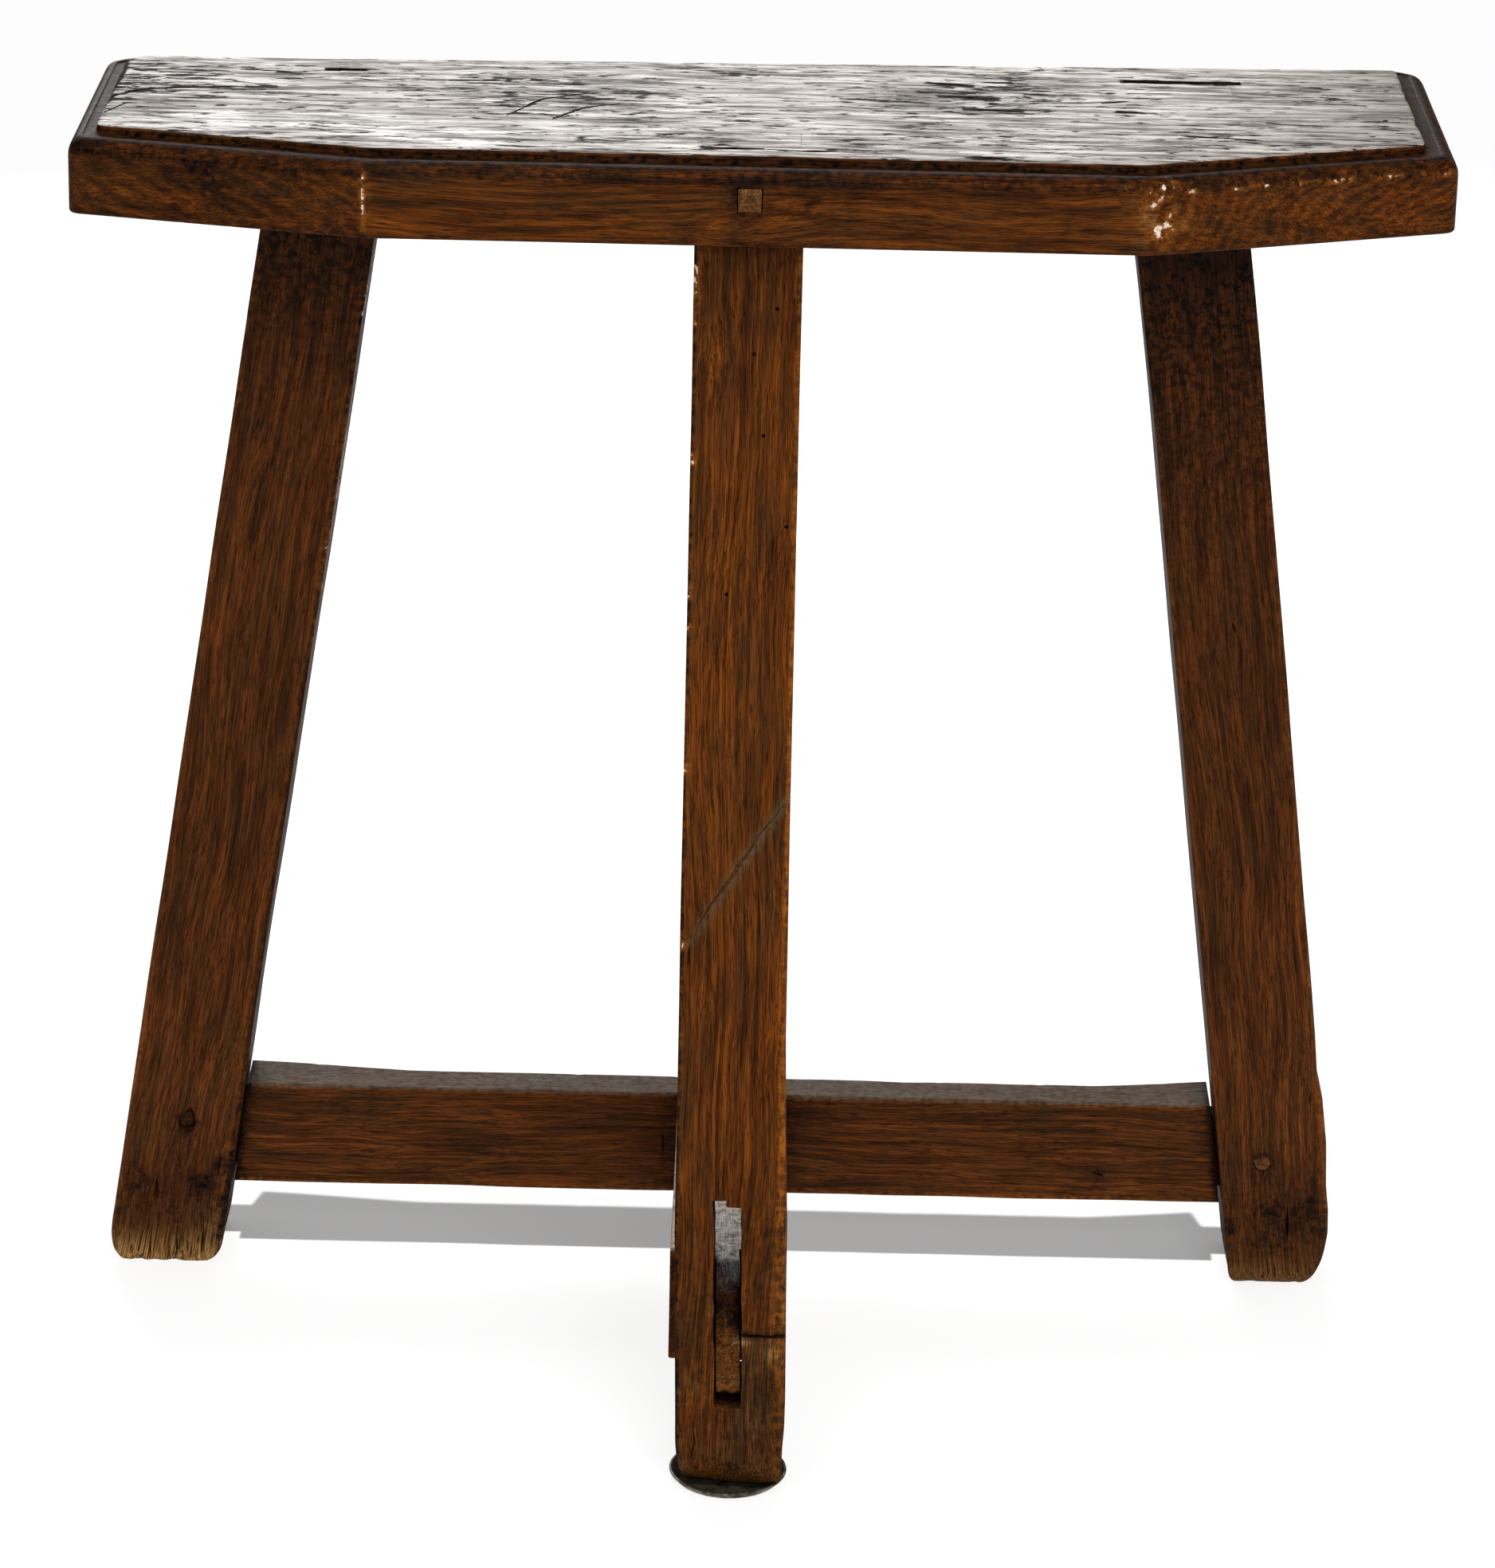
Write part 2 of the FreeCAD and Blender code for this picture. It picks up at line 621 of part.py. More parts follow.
def make_front_leg(leg, cuts):
    """Make the front leg and its repair block, which share the foot, the open mortise and the nail holes."""
    half_width = size("open_mortise_width / 2")
    corner = placed(size("front_foot_x") - half_width, -size("seat_length"), size("open_mortise_bottom"))
    mortise = add_box("open_mortise", corner, "open_mortise_width", "2 * seat_length",
                      "open_mortise_top - open_mortise_bottom")
    blank = combine("Cut", "front_leg_mortised", leg.whole(), [mortise] + cuts)
    whole = combine("Cut", "front_leg", blank, [repair_space("repair_recess", "0")])
    block = combine("Common", "foot_repair_block", blank, [repair_space("block_space", "joint_gap")])
    return whole, block


def make_rear_leg(leg, side, cuts):
    """Make a rear leg with the mortise of the rear rail and its peg holes."""
    mortise = stub_tenon(f"{side}_stub_mortise", side, "joint_gap")
    return combine("Cut", leg.name, leg.whole(), [mortise] + cuts)


def make_stool():
    """Build every sub-part and give the finished ones by name."""
    front = Leg("front_leg", "front", "front_foot_x", "0", "front_tenon_setback", "dish_sheet",
                ("dish_x", "dish_y"))
    left = Leg("left_rear_leg", "rear", "left_foot_x", "left_splay_angle", "left_tenon_setback", "0",
               ("left_foot_x", "rear_foot_y"))
    right = Leg("right_rear_leg", "rear", "right_foot_x", "right_splay_angle", "right_tenon_setback", "0",
                ("right_foot_x", "rear_foot_y"))
    front_peg, front_hole = square_peg(front, "front_tenon_peg", False)
    left_peg, left_hole = square_peg(left, "left_rear_tenon_peg", True)
    right_peg, right_hole = square_peg(right, "right_rear_tenon_peg", True)
    left_round, left_bore = rail_peg(
        left, "left_stretcher_peg", "left_shoulder_x - round_peg_to_shoulder", "left_peg_height")
    right_round, right_bore = rail_peg(
        right, "right_stretcher_peg", "right_shoulder_x + round_peg_to_shoulder", "right_peg_height")
    middle_round, middle_bore = medial_peg()
    nails, nail_holes = make_nails()
    front_leg, repair_block = make_front_leg(front, [front_hole] + nail_holes)
    return {
        "seat_plank": make_seat([front, left, right], [front_hole, left_hole, right_hole]),
        "front_leg": front_leg,
        "foot_repair_block": repair_block,
        "left_rear_leg": make_rear_leg(left, "left", [left_hole, left_bore]),
        "right_rear_leg": make_rear_leg(right, "right", [right_hole, right_bore]),
        "rear_stretcher": make_rear_rail([left_bore, right_bore, middle_bore,
                                          back_tenon("back_mortise", "joint_gap")]),
        "medial_stretcher": make_medial_rail([middle_bore]),
        "front_tenon_peg": front_peg,
        "left_rear_tenon_peg": left_peg,
        "right_rear_tenon_peg": right_peg,
        "left_stretcher_peg": left_round,
        "right_stretcher_peg": right_round,
        "medial_stretcher_peg": middle_round,
        "foot_dish": make_dish(nail_holes),
        "foot_dish_nails": nails,
    }


def check_document():
    """Stop if any object of the document failed."""
    failed = [item.Name for item in doc.Objects if {"Invalid", "Error"} & set(item.State)]
    if failed:
        raise RuntimeError(f"failed objects: {failed}")


def write_parts(parts):
    """Check each sub-part's shape and write it to its own file."""
    os.makedirs("parts", exist_ok=True)
    for name, item in parts.items():
        item.Label = name
        shape = item.Shape
        if shape.isNull() or not shape.isValid() or not shape.Solids:
            raise RuntimeError(f"{name} has no valid solid")
        shape.exportStep(f"parts/{name}.step")
        box = shape.optimalBoundingBox()
        print(f"{name:22s} solids {len(shape.Solids)} volume {shape.Volume / 1000:8.1f} cm3 "
              f"x {box.XMin:7.1f} {box.XMax:7.1f} y {box.YMin:7.1f} {box.YMax:7.1f} "
              f"z {box.ZMin:6.1f} {box.ZMax:6.1f}")


fill_sheet()
stool = make_stool()
doc.recompute()
check_document()
write_parts(stool)
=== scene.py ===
"""Looks of the work stool: worn, waxed oak on three legs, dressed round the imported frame.

Every wooden piece is a closed skin worked out with numpy: rings of points that follow the timber's own
section and wear, then real cuts for its mortises, peg holes, shakes and worm holes. Lengths are in
millimetres until a skin becomes a mesh, and every mesh lies in the frame's own place, in metres.
"""

import itertools
import logging
import math
from collections.abc import Callable
from dataclasses import dataclass, field
from enum import Enum

import bpy
import numpy as np
from mathutils import Euler, Matrix, Vector


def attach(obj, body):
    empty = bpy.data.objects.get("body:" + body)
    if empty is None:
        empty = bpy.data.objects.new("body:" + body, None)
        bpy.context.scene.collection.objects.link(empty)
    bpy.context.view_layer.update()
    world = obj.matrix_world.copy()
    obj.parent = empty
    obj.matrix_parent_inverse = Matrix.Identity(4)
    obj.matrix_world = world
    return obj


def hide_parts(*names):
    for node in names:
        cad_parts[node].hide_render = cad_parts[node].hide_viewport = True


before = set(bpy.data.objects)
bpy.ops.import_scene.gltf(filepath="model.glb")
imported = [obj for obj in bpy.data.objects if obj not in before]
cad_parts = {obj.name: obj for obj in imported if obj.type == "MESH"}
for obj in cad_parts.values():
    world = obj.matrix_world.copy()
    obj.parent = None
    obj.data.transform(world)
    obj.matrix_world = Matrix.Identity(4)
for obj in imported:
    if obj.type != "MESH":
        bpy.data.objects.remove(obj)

LOG = logging.getLogger("work_stool")
MM = 0.001
BODY = "root"
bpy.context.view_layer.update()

Array = np.ndarray
Item = bpy.types.Object
Material = bpy.types.Material
Tree = bpy.types.NodeTree
Socket = bpy.types.NodeSocket
Pair = tuple[float, float]
Place = tuple[float, float, float]
Pairs = tuple[Pair, ...]
Lines = tuple[tuple[Pairs, float, float], ...]

WHITE = (1.0, 1.0, 1.0, 1.0)
UP = (0.0, 0.0, 1.0)
FORWARD = (0.0, -1.0, 0.0)
LEFT_PEG_XZ = (-290.1, 83.8)
RIGHT_PEG_XZ = (280.4, 74.3)
PEG_BORE_MM = 9.4
WELL = ((-1.85, 120.1, 103.2), UP, 7.4, 46.2)
NAILS_X = (-10.05, 11.95)
NAIL_BORE_MM = 3.0
SHARP_DEGREES = 38.0


def linear(code: str) -> tuple[float, float, float, float]:
    """Turn an sRGB hex colour into linear red, green, blue and an alpha of one.

    Args:
        code: six hex digits, with or without a leading hash.

    Returns:
        The colour as Blender's sockets take it.
    """
    digits = code.lstrip("#")
    parts = [int(digits[at:at + 2], 16) / 255.0 for at in (0, 2, 4)]
    values = [part / 12.92 if part <= 0.04045 else ((part + 0.055) / 1.055) ** 2.4 for part in parts]
    return (*values, 1.0)


# Unevenness and skins

class Unevenness:
    """A smooth random field in space that is the same on every run."""

    LATTICE = 32

    def __init__(self, seed: int) -> None:
        """Fill a lattice with values from -1 to 1."""
        self.table = np.random.default_rng(seed).uniform(-1.0, 1.0, (self.LATTICE,) * 3)

    def at(self, points: Array, cell: Place) -> Array:
        """Read the field: lattice values one cell apart, blended by the smooth step 3t^2 - 2t^3.

        Args:
            points: places in millimetres, with x, y and z in the last axis.
            cell: the lattice spacing along x, y and z.

        Returns:
            One value from -1 to 1 for each place.
        """
        scaled = points / np.asarray(cell)
        low = np.floor(scaled).astype(int)
        part = scaled - low
        part = part * part * (3.0 - 2.0 * part)
        total = np.zeros(scaled.shape[:-1])
        for corner in itertools.product((0, 1), repeat=3):
            index = (low + corner) % self.LATTICE
            weight = np.prod(np.where(np.array(corner) == 1, part, 1.0 - part), axis=-1)
            total += weight * self.table[index[..., 0], index[..., 1], index[..., 2]]
        return total


def mottle(seed: int, points: Array, cell: Place, shift: float = 0.0) -> Array:
    """Give patches from 0 to 1 with nothing between them: what of a random field lies above a shift."""
    return np.clip(Unevenness(seed).at(points, cell) - shift, 0.0, 1.0)


def sway(seed: int, points: Array, cell: Place) -> Array:
    """Give a random field's values, carried over to 0 to 1."""
    return 0.5 + 0.5 * Unevenness(seed).at(points, cell)


@dataclass
class Skin:
    """A closed surface: points in millimetres and faces that index them."""

    points: Array
    faces: list[list[int]]

    def outward(self) -> "Skin":
        """Turn the faces so that the signed volume, a sum of a.(b x c) over a fan of each face, is positive.

        Returns:
            The skin itself.
        """
        total = 0.0
        for size in {len(face) for face in self.faces}:
            corners = self.points[np.array([face for face in self.faces if len(face) == size])]
            for at in range(1, size - 1):
                crossed = np.cross(corners[:, at], corners[:, at + 1])
                total += float(np.sum(corners[:, 0] * crossed))
        if total < 0.0:
            self.faces = [face[::-1] for face in self.faces]
        return self

    def build(self, name: str) -> Item:
        """Make the mesh object, in metres, with its object at the origin.

        Args:
            name: the object's name.

        Returns:
            The object, linked to the scene.
        """
        mesh = bpy.data.meshes.new(name)
        mesh.from_pydata((self.points * MM).tolist(), [], self.faces)
        mesh.update()
        item = bpy.data.objects.new(name, mesh)
        bpy.context.scene.collection.objects.link(item)
        return item


def joined(skins: list[Skin]) -> Skin:
    """Put several skins that don't touch each other into one.

    Args:
        skins: the skins.

    Returns:
        One skin with all their points and faces.
    """
    starts = np.cumsum([0] + [len(skin.points) for skin in skins])
    faces = [[index + start for index in face] for skin, start in zip(skins, starts) for face in skin.faces]
    return Skin(np.concatenate([skin.points for skin in skins]), faces)


def ring_skin(rings: Array) -> Skin:
    """Join rings of points into a closed skin, with a pole at the middle of the first and last ring.

    Args:
        rings: an array of ring by point by x, y and z. The grid is closed round each ring.

    Returns:
        The skin, with its faces outward.
    """
    count, around = rings.shape[:2]
    poles = np.array([rings[0].mean(axis=0), rings[-1].mean(axis=0)])
    points = np.concatenate([rings.reshape(-1, 3), poles])
    index = np.arange(count * around).reshape(count, around)
    after = np.roll(index, -1, axis=1)
    quads = np.stack([index[:-1], after[:-1], after[1:], index[1:]], axis=-1).reshape(-1, 4).tolist()
    first, last = count * around, count * around + 1
    start = np.stack([after[0], index[0], np.full(around, first)], axis=-1).tolist()
    end = np.stack([index[-1], after[-1], np.full(around, last)], axis=-1).tolist()
    return Skin(points, quads + start + end).outward()


CAP_SHARES = (0.97, 0.88, 0.75, 0.6, 0.45, 0.3, 0.15)


def shrunk(ring: Array, shares: tuple[float, ...] = CAP_SHARES) -> Array:
    """Copy a ring towards its middle: middle plus share times the way out, once for each share."""
    middle = ring.mean(axis=0)
    return np.stack([middle + share * (ring - middle) for share in shares])


def capped(rings: Array) -> Array:
    """Add shrinking rings at both ends, which carry the flat ends in to their middles."""
    return np.concatenate([shrunk(rings[0])[::-1], rings, shrunk(rings[-1])])


def graded(length: float, fine: float, coarse: float, edge: float) -> Array:
    """Space places from 0 to a length, finely within an edge distance of both ends and coarsely between.

    Args:
        length: where the last place lies.
        fine: the spacing near the ends.
        coarse: the most between.
        edge: how far in from each end it is fine.

    Returns:
        The places, in order.
    """
    edge = min(edge, length / 3.0)
    close = np.arange(0.0, edge, fine)
    middle = np.linspace(edge, length - edge, max(2, int((length - 2.0 * edge) / coarse) + 1))
    return np.concatenate([close, middle, (length - close)[::-1]])


def rectangle_ring(half: Pair, fine: float, coarse: float, edge: float) -> Array:
    """Lay points round a rectangle, closer together near its corners, from one corner round by the right.

    Args:
        half: half of its width and depth.
        fine: the spacing near the corners.
        coarse: the most between.
        edge: how far from a corner it is fine.

    Returns:
        The points as x and y, without the first one again at the end.
    """
    across = graded(2.0 * half[0], fine, coarse, edge) - half[0]
    along = graded(2.0 * half[1], fine, coarse, edge) - half[1]
    sides = (
        (across, np.full(len(across), -half[1])),
        (np.full(len(along), half[0]), along),
        (across[::-1], np.full(len(across), half[1])),
        (np.full(len(along), -half[0]), along[::-1]),
    )
    return np.concatenate([np.stack(side, axis=-1)[:-1] for side in sides])


def box_skin(low: Place, high: Place) -> Skin:
    """Make a plain box between two corners, for a hidden cut.

    Args:
        low: lowest corner.
        high: highest corner.

    Returns:
        The skin.
    """
    corners = np.array(list(itertools.product(*zip(low, high))), dtype=float)
    faces = [[0, 1, 3, 2], [4, 6, 7, 5], [0, 4, 5, 1], [2, 3, 7, 6], [0, 2, 6, 4], [1, 5, 7, 3]]
    return Skin(corners, faces).outward()


def rough_box(low: Place, high: Place, step: float, rough: float, seed: int) -> Skin:
    """Make a box with hacked, uneven sides: each point of its grid moved by a smooth random amount.

    Args:
        low: lowest corner.
        high: highest corner.
        step: spacing of the grid.
        rough: the most that a point moves.
        seed: which random field is used.

    Returns:
        The skin: rings of a rectangle carried along Z, and shrunk to a pole at both ends.
    """
    bottom, top = np.asarray(low, float), np.asarray(high, float)
    middle, half = (bottom + top) / 2.0, (top - bottom) / 2.0
    fine = min(step, half[0] / 2.0, half[1] / 2.0)
    outline = rectangle_ring((half[0], half[1]), fine, step, 2.0 * fine)
    heights = graded(2.0 * half[2], min(step, half[2] / 2.0), step, step) + bottom[2]
    rings = np.empty((len(heights), len(outline), 3))
    rings[..., :2] = outline + middle[:2]
    rings[..., 2] = heights[:, None]
    rings = capped(rings)
    fields = [Unevenness(seed + axis) for axis in range(3)]
    moved = np.stack([one.at(rings, (3.0 * step,) * 3) for one in fields], axis=-1)
    return ring_skin(rings + rough * moved)


def blade(path: list[Place], width: float, depth: float, normal: Place, waver: float, seed: int) -> Skin:
    """Make the cutter of a crack: a leaf that follows a path on a surface and thins out to both ends.

    Each ring of four points lies across the path: half the width either side above the surface, and
    two points an eighth of that apart at the depth. The width follows the sine of the way along.

    Args:
        path: points on the surface, in order.
        width: the most that the crack gapes.
        depth: how deep it goes.
        normal: the way out of the surface.
        waver: how far the path wanders sideways.
        seed: which random field the wandering uses.

    Returns:
        The skin.
    """
    points = np.asarray(path, float)
    out = np.asarray(normal, float) / np.linalg.norm(normal)
    way = np.concatenate([[0.0], np.cumsum(np.linalg.norm(np.diff(points, axis=0), axis=1))])
    places = np.linspace(0.0, way[-1], max(9, int(way[-1] / 2.5)))
    line = np.stack([np.interp(places, way, points[:, axis]) for axis in range(3)], axis=-1)
    side = np.cross(out, np.gradient(line, axis=0))
    side /= np.linalg.norm(side, axis=1, keepdims=True)
    line = line + side * waver * Unevenness(seed).at(line, (9.0, 9.0, 9.0))[:, None]
    swell = np.sin(np.pi * places / way[-1])
    gape = (0.08 + swell) * width / 2.0 * (1.0 + 0.45 * Unevenness(seed + 1).at(line, (5.0, 5.0, 5.0)))
    top = line + out * 2.0
    bottom = line - out * (depth * (0.2 + swell))[:, None]
    reach = side * gape[:, None]
    return ring_skin(np.stack([top - reach, top + reach, bottom + reach / 8.0, bottom - reach / 8.0], axis=1))


def blades(lines: Lines, lift: Callable[[float, float], Place], normal: Place, waver: float,
           seed: int) -> list[Skin]:
    """Make the cutters of cracks drawn as lines on a surface.

    Args:
        lines: for each crack its path, the most that it gapes and how deep it goes.
        lift: gives the place in space of a path's point.
        normal: the way out of the surface.
        waver: how far the paths wander sideways.
        seed: which random fields the wandering uses.

    Returns:
        A cutter for each line.
    """
    return [blade([lift(*point) for point in path], width, depth, normal, waver, seed + 2 * at)
            for at, (path, width, depth) in enumerate(lines)]


def drill(place: Place, normal: Place, diameter: float, depth: float, sides: int = 14) -> Skin:
    """Make the cutter of a round hole: two circles joined, one above the surface and one at the depth.

    Args:
        place: the middle of its mouth on the surface.
        normal: the way out of the surface.
        diameter: the hole's.
        depth: how deep it goes.
        sides: how many points go round.

    Returns:
        The skin.
    """
    way = Vector(normal).normalized()
    turn = np.array(way.to_track_quat("Z", "Y").to_matrix())
    angles = np.arange(sides) * 2.0 * np.pi / sides
    circle = np.stack([np.cos(angles), np.sin(angles), np.zeros(sides)], axis=-1) * diameter / 2.0
    flat = np.asarray(place, float) + circle @ turn.T
    return ring_skin(np.stack([flat + np.asarray(way) * diameter, flat - np.asarray(way) * depth]))


class Cut(Enum):
    """What a set of cutters does to a piece."""

    REMOVE = "DIFFERENCE"
    KEEP = "INTERSECT"


def carve(piece: Item, cuts: list[tuple[Cut, list[Skin]]]) -> None:
    """Cut closed skins from a piece, or keep only what lies inside them, and leave a plain mesh.

    Args:
        piece: the piece to cut.
        cuts: what to do, and the cutters that do it, which don't touch each other.
    """
    cutters = [joined(skins).build("cutter") for _, skins in cuts]
    for (cut, _), cutter in zip(cuts, cutters):
        modifier = piece.modifiers.new("cut", "BOOLEAN")
        modifier.operation = cut.value
        modifier.solver = "EXACT"
        modifier.object = cutter
    bpy.context.view_layer.update()
    evaluated = piece.evaluated_get(bpy.context.evaluated_depsgraph_get())
    mesh = bpy.data.meshes.new_from_object(evaluated)
    piece.modifiers.clear()
    old = piece.data
    piece.data = mesh
    bpy.data.meshes.remove(old)
    for cutter in cutters:
        data = cutter.data
        bpy.data.objects.remove(cutter)
        bpy.data.meshes.remove(data)


WEAR = "wear"
TOP_FROM_MM = 656.2


def paint(piece: Item, edge: Array, grime_and_shade: Array, bare: Array,
          scuff: Array | None = None) -> None:
    """Store each point's worn edge with painted glints, dirt and painted shade, bare wood, and scuffing with
    painted sheen, from 0 to 1, for the finish to read.

    Args:
        piece: the piece.
        edge: worn edge, by point, with painted glints where it reaches 0.75 and more.
        grime_and_shade: dirt and painted shade, by point.
        bare: bare wood, by point.
        scuff: scuffing, by point, if there is any; on the rails' tops it is partly a painted sheen, and on the
            seat's top a painted white sheen.
    """
    layer = piece.data.attributes.new(WEAR, "FLOAT_COLOR", "POINT")
    amounts = np.stack([edge, grime_and_shade, bare, np.zeros(len(edge)) if scuff is None else scuff], axis=1)
    layer.data.foreach_set("color", np.clip(amounts, 0.0, 1.0).astype(np.float32).ravel())


def mesh_points(piece: Item) -> Array:
    """Read a piece's points in millimetres.

    Args:
        piece: the piece.

    Returns:
        Its points, one in each row.
    """
    values = np.empty(len(piece.data.vertices) * 3, np.float32)
    piece.data.vertices.foreach_get("co", values)
    return values.reshape(-1, 3).astype(float) / MM


def settle(piece: Item, node: str, material: Material,
           top: Material | None = None) -> None:
    """Shade a piece, dress it, and let it stand for its node.

    Args:
        piece: the piece.
        node: the CAD node that it stands for.
        material: its finish.
        top: the finish of its upward faces at the height of the seat's top, if it has any.
    """
    mesh = piece.data
    mesh.name = piece.name
    mesh.materials.clear()
    mesh.materials.append(material)
    if top is not None:
        mesh.materials.append(top)
        middles, normals = (np.empty(len(mesh.polygons) * 3, np.float32) for _ in range(2))
        mesh.polygons.foreach_get("center", middles)
        mesh.polygons.foreach_get("normal", normals)
        upward = (middles[2::3] > TOP_FROM_MM * MM) & (normals[2::3] > 0.8)
        mesh.polygons.foreach_set("material_index", upward.astype(np.int32))
    mesh.polygons.foreach_set("use_smooth", np.ones(len(mesh.polygons), bool))
    mesh.set_sharp_from_angle(angle=math.radians(SHARP_DEGREES))
    mesh.update()
    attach(piece, BODY)
    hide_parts(node)
    LOG.info("built %s: %d points, %d faces", piece.name, len(mesh.vertices), len(mesh.polygons))


def spot(points: Array, place: Place, reach: Place) -> Array:
    """Give a smooth spot: exp of minus the squared distance from a place, in reaches along each axis."""
    return np.exp(-np.sum(((points - np.asarray(place)) / np.asarray(reach)) ** 2, axis=-1))


def marked(points: Array, marks: tuple[tuple[float, Place, Place], ...]) -> Array:
    """Add up smooth spots, each given by its strength, its place and its reach."""
    return sum(strength * spot(points, place, reach) for strength, place, reach in marks)


def level(points: Array, height: float, reach: float) -> Array:
    """Give a smooth band round a height: exp of minus the squared distance from it, in reaches."""
    return np.exp(-((points[..., 2] - height) / reach) ** 2)


def ramp(values: Array, start: float, end: float) -> Array:
    """Go from 0 at a start to 1 at an end, which may be the lower of the two."""
    return np.clip((values - start) / (end - start), 0.0, 1.0)


# Finishes

def add(tree: Tree, kind: str, settings: dict | None = None,
        inputs: dict | None = None) -> bpy.types.Node:
    """Add a node to a tree.

    Args:
        tree: the material's or world's node tree.
        kind: the node's type, without ShaderNode.
        settings: its properties by name.
        inputs: by socket name or number, a value or another node's output socket.

    Returns:
        The node.
    """
    node = tree.nodes.new("ShaderNode" + kind)
    for name, value in (settings or {}).items():
        setattr(node, name, value)
    for name, value in (inputs or {}).items():
        if isinstance(value, Socket):
            tree.links.new(value, node.inputs[name])
        else:
            node.inputs[name].default_value = value
    return node


@dataclass(frozen=True)
class Grain:
    """Where a timber's wood grew: a point and turn of its own frame, whose Z runs along the grain."""

    place_mm: Place = (0.0, 0.0, 0.0)
    turn_degrees: Place = (0.0, 0.0, 0.0)
    pith_mm: Pair = (60.0, 90.0)


@dataclass(frozen=True)
class Nodes:
    """A material's node tree, with the steps that the finishes put together."""

    tree: Tree

    def ranged(self, value: Socket, low: float, high: float, start: float = 0.0, end: float = 1.0) -> Socket:
        """Carry a value's range from low to high over to start to end, and stop it there."""
        return add(self.tree, "MapRange", None, {
            "Value": value, "From Min": low, "From Max": high, "To Min": start, "To Max": end,
        }).outputs["Result"]

    def mixed(self, share: Socket, color: Socket | str, other: str) -> Socket:
        """Mix a colour with another by a share."""
        first = linear(color) if isinstance(color, str) else color
        return add(self.tree, "Mix", {"data_type": "RGBA"}, {
            "Factor": share, 6: first, 7: linear(other)}).outputs[2]

    def combined(self, operation: str, one: Socket, other: Socket | float) -> Socket:
        """Combine two values by an operation."""
        return add(self.tree, "Math", {"operation": operation}, {0: one, 1: other}).outputs["Value"]

    def times(self, one: Socket, other: Socket) -> Socket:
        """Multiply two values."""
        return self.combined("MULTIPLY", one, other)

    def plus(self, one: Socket, other: Socket) -> Socket:
        """Add two values."""
        return self.combined("ADD", one, other)

    def most(self, one: Socket, other: Socket) -> Socket:
        """Give the greater of two values."""
        return self.combined("MAXIMUM", one, other)

    def moved(self, operation: str, one: Socket, other: Socket | Place) -> Socket:
        """Combine two vectors by an operation."""
        return add(self.tree, "VectorMath", {"operation": operation}, {0: one, 1: other}).outputs["Vector"]

    def noise(self, where: Socket, size_mm: Place, detail: float, rough: float = 0.6) -> Socket:
        """Make noise whose grains have a size in millimetres along each axis.

        Args:
            where: the coordinates.
            size_mm: how long the grains are along each axis.
            detail: how many finer layers lie on top.
            rough: how strong those are.

        Returns:
            The noise, about 0 to 1.
        """
        scale = tuple(1.0 / (size * MM) for size in size_mm)
        drawn = add(self.tree, "Mapping", None, {"Vector": where, "Scale": scale}).outputs["Vector"]
        return add(self.tree, "TexNoise", None, {
            "Vector": drawn, "Scale": 1.0, "Detail": detail, "Roughness": rough}).outputs["Fac"]

    def wear(self) -> tuple[Socket, Socket, Socket, Socket]:
        """Read what was painted: worn edge with painted glints, dirt and painted shade, bare wood, and scuffing
        with painted sheen.

        Returns:
            Worn edge with painted glints, dirt and painted shade, bare wood, and scuffing with painted sheen, each
            from 0 to 1.
        """
        painted = add(self.tree, "Attribute", {"attribute_name": WEAR})
        parts = add(self.tree, "SeparateXYZ", None, {0: painted.outputs["Color"]}).outputs
        return parts["X"], parts["Y"], parts["Z"], painted.outputs["Alpha"]

    def bumped(self, height: Socket, depth_mm: float) -> Socket:
        """Turn a height from 0 to 1 into a normal, for a depth in millimetres."""
        return add(self.tree, "Bump", None, {
            "Height": height, "Distance": depth_mm * MM, "Strength": 0.8}).outputs["Normal"]

    def ended(self, inputs: dict) -> None:
        """End the tree in a surface with these inputs."""
        surface = add(self.tree, "BsdfPrincipled", None, inputs)
        add(self.tree, "OutputMaterial", None, {"Surface": surface.outputs["BSDF"]})


@dataclass(frozen=True)
class Finish:
    """A procedural finish under its own name."""

    name: str

    def begun(self) -> tuple[Material, Nodes, Socket]:
        """Make an empty material, and give its nodes and the object's own coordinates.

        Returns:
            The material, its nodes and the object's coordinates.
        """
        made = bpy.data.materials.new(self.name)
        made.use_nodes = True
        made.node_tree.nodes.clear()
        return made, Nodes(made.node_tree), add(made.node_tree, "TexCoord").outputs["Object"]


